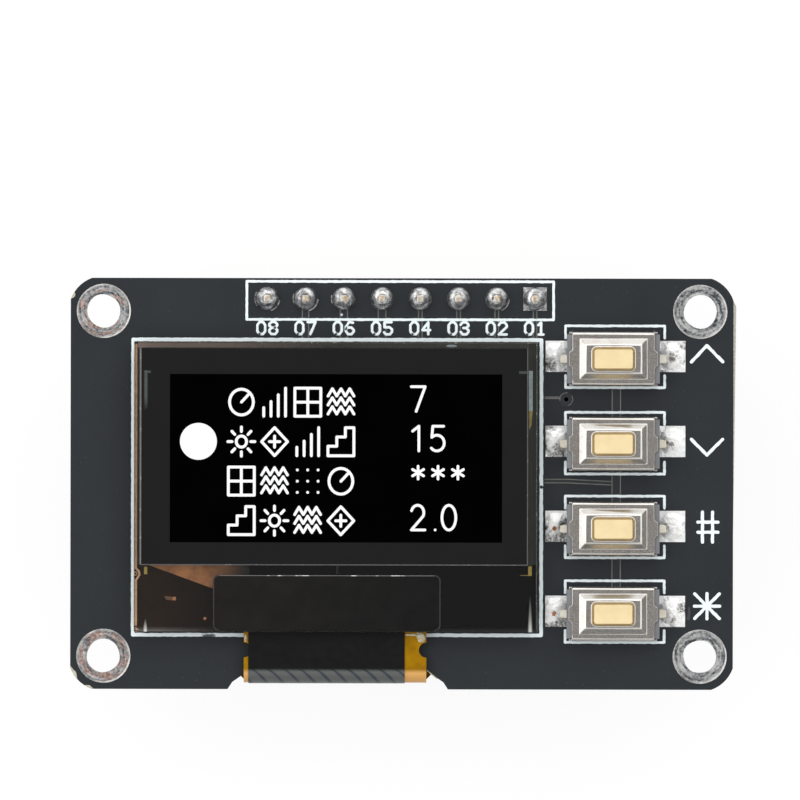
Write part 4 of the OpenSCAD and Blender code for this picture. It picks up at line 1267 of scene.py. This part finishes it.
lines("tape_top_edge_highlight", glinting_edge("tape_top_rim_highlight", (112, 112, 110), (222, 220, 215), 0.54, 0.7),
      "black_tape", on_tape, 1.4 * rim, [(left, high + bend_r), (right, high + bend_r)])
lines("glass_edge_highlights", glinting_edge("glass_rim_highlight", (122, 118, 106), (214, 212, 198), 0.6), "display_glass",
      in_glass, 0.05, [(glass_low.x + 0.4, glass_high.y - 0.08), (border_right, glass_high.y - 0.08),
                       (border_right, glass_low.y + 0.2)])
# Painted reflection: a small pale glint on the glass near its top edge.
glass_print("glass_glint", pale_mark_and_glint, arc(3.3, 9.16, 0.36, 0, 360, 20, 0.08)[:-1], levels=over_print)


# Glue beside the flex

def blob(name, centre, size, seed):
    """A lumpy drop of clear glue."""
    mesh = bpy.data.meshes.new(name)
    ball = bmesh.new()
    bmesh.ops.create_icosphere(ball, subdivisions=4, radius=1)
    for v in ball.verts:
        swell = 1 + 0.35 * noise.noise(v.co * 1.7 + Vector((seed, 0, 0))) + 0.12 * noise.noise(v.co * 5)
        v.co = Vector([(c + s * swell * d) * MM for c, s, d in zip(centre, size, v.co)])
    ball.to_mesh(mesh)
    ball.free()
    for polygon in mesh.polygons:
        polygon.use_smooth = True
    finish_piece(name, mesh, glue)


blob("glue_drop_1", (1.28, -10.2, 1.93), (0.32, 0.36, 0.1), 3)
blob("glue_drop_2", (-10.36, -10.25, 1.93), (0.09, 0.24, 0.08), 8)
blob("glue_drop_3", (0.82, -10.02, 1.94), (0.62, 0.085, 0.07), 5)


# Studio: floor, world, lights and camera

def add_floor():
    """White paper to the camera, to metal and to glass; its own shading keeps the object's shadow."""
    size = 6.0
    paper_share = 0.14
    white = 1.02
    z = cad_box[0][2] - 0.0002
    mesh = bpy.data.meshes.new("floor")
    mesh.from_pydata([(x * size, y * size, z) for x, y in rectangle(-1, -1, 1, 1)], [], [(0, 1, 2, 3)])
    material = bpy.data.materials.new("floor")
    material.use_nodes = True
    mesh.materials.append(material)
    f = Nodes(material.node_tree)
    f.tree.nodes.clear()
    rays = f.node("LightPath").outputs
    seen = rays["Is Camera Ray"]
    for ray in ("Is Glossy Ray", "Is Transmission Ray"):
        seen = f.math("MAXIMUM", seen, rays[ray])
    paper = f.node("BsdfDiffuse", (paper_share, paper_share, paper_share, 1))
    glow = f.node("Emission", (1, 1, 1, 1), f.times(seen, white - paper_share))
    both = f.node("AddShader", paper.outputs[0], glow.outputs[0])
    f.node("OutputMaterial", both.outputs[0])
    made = add_object("floor", mesh)


def add_world():
    """A studio that is dim overhead, with a bright band half-way up and a window low at the left."""
    world = bpy.data.worlds.new("studio")
    bpy.context.scene.world = world
    world.use_nodes = True
    f = Nodes(world.node_tree)
    heading = f.node("TexCoord").outputs["Generated"]
    height = f.node("SeparateXYZ", heading).outputs[2]
    behind, leftward = [f.node("VectorMath", heading, way, operation="DOT_PRODUCT").outputs["Value"]
                        for way in ((0, 1, 0), (-1, 0, 0))]
    overhead = f.span(height, 0.12, 0.62, 0.2, 0.36)
    band = f.times(f.span(height, 0.9, 0.74), f.span(height, 0.38, 0.54))
    band = f.times(band, f.span(behind, -0.7, -0.1, 0.7, 1.45))
    skirt = f.plus(f.span(leftward, 0.35, 0.9, 0, 1.8), f.span(behind, 0.2, 0.9, 0, 1.3))
    skirt = f.times(f.span(height, 0.45, 0.15), skirt)
    background = f.tree.nodes["Background"]
    f.put(background.inputs["Color"], (1, 1, 1, 1))
    f.put(background.inputs["Strength"], f.plus(f.plus(band, skirt), overhead))


def add_light(name, place, size, power):
    lamp = bpy.data.lights.new(name, "AREA")
    lamp.shape = "SQUARE"
    lamp.size = size
    lamp.energy = power
    made = add_object(name, lamp)
    made.location = place
    made.rotation_euler = (-Vector(place)).to_track_quat("-Z", "Y").to_euler()


def add_camera():
    """Long lens, straight above."""
    lens = 800
    sensor = 36
    frame_w = 53.12 * MM
    roll = math.radians(0.1)
    target = Vector((-0.128, 5.565, front)) * MM
    camera = bpy.data.cameras.new("camera")
    camera.lens = lens
    camera.sensor_width = sensor
    made = add_object("camera", camera)
    made.location = target + Vector((0, 0, frame_w * lens / sensor))
    made.rotation_euler = (0, 0, roll)
    bpy.context.scene.camera = made


add_floor()
add_world()
add_light("left_light", (-0.5, 0.08, 0.42), 0.6, 0.7)
add_light("top_light", (0.06, 0.5, 0.42), 0.6, 0.55)
add_camera()
bpy.context.scene.view_settings.view_transform = "Standard"
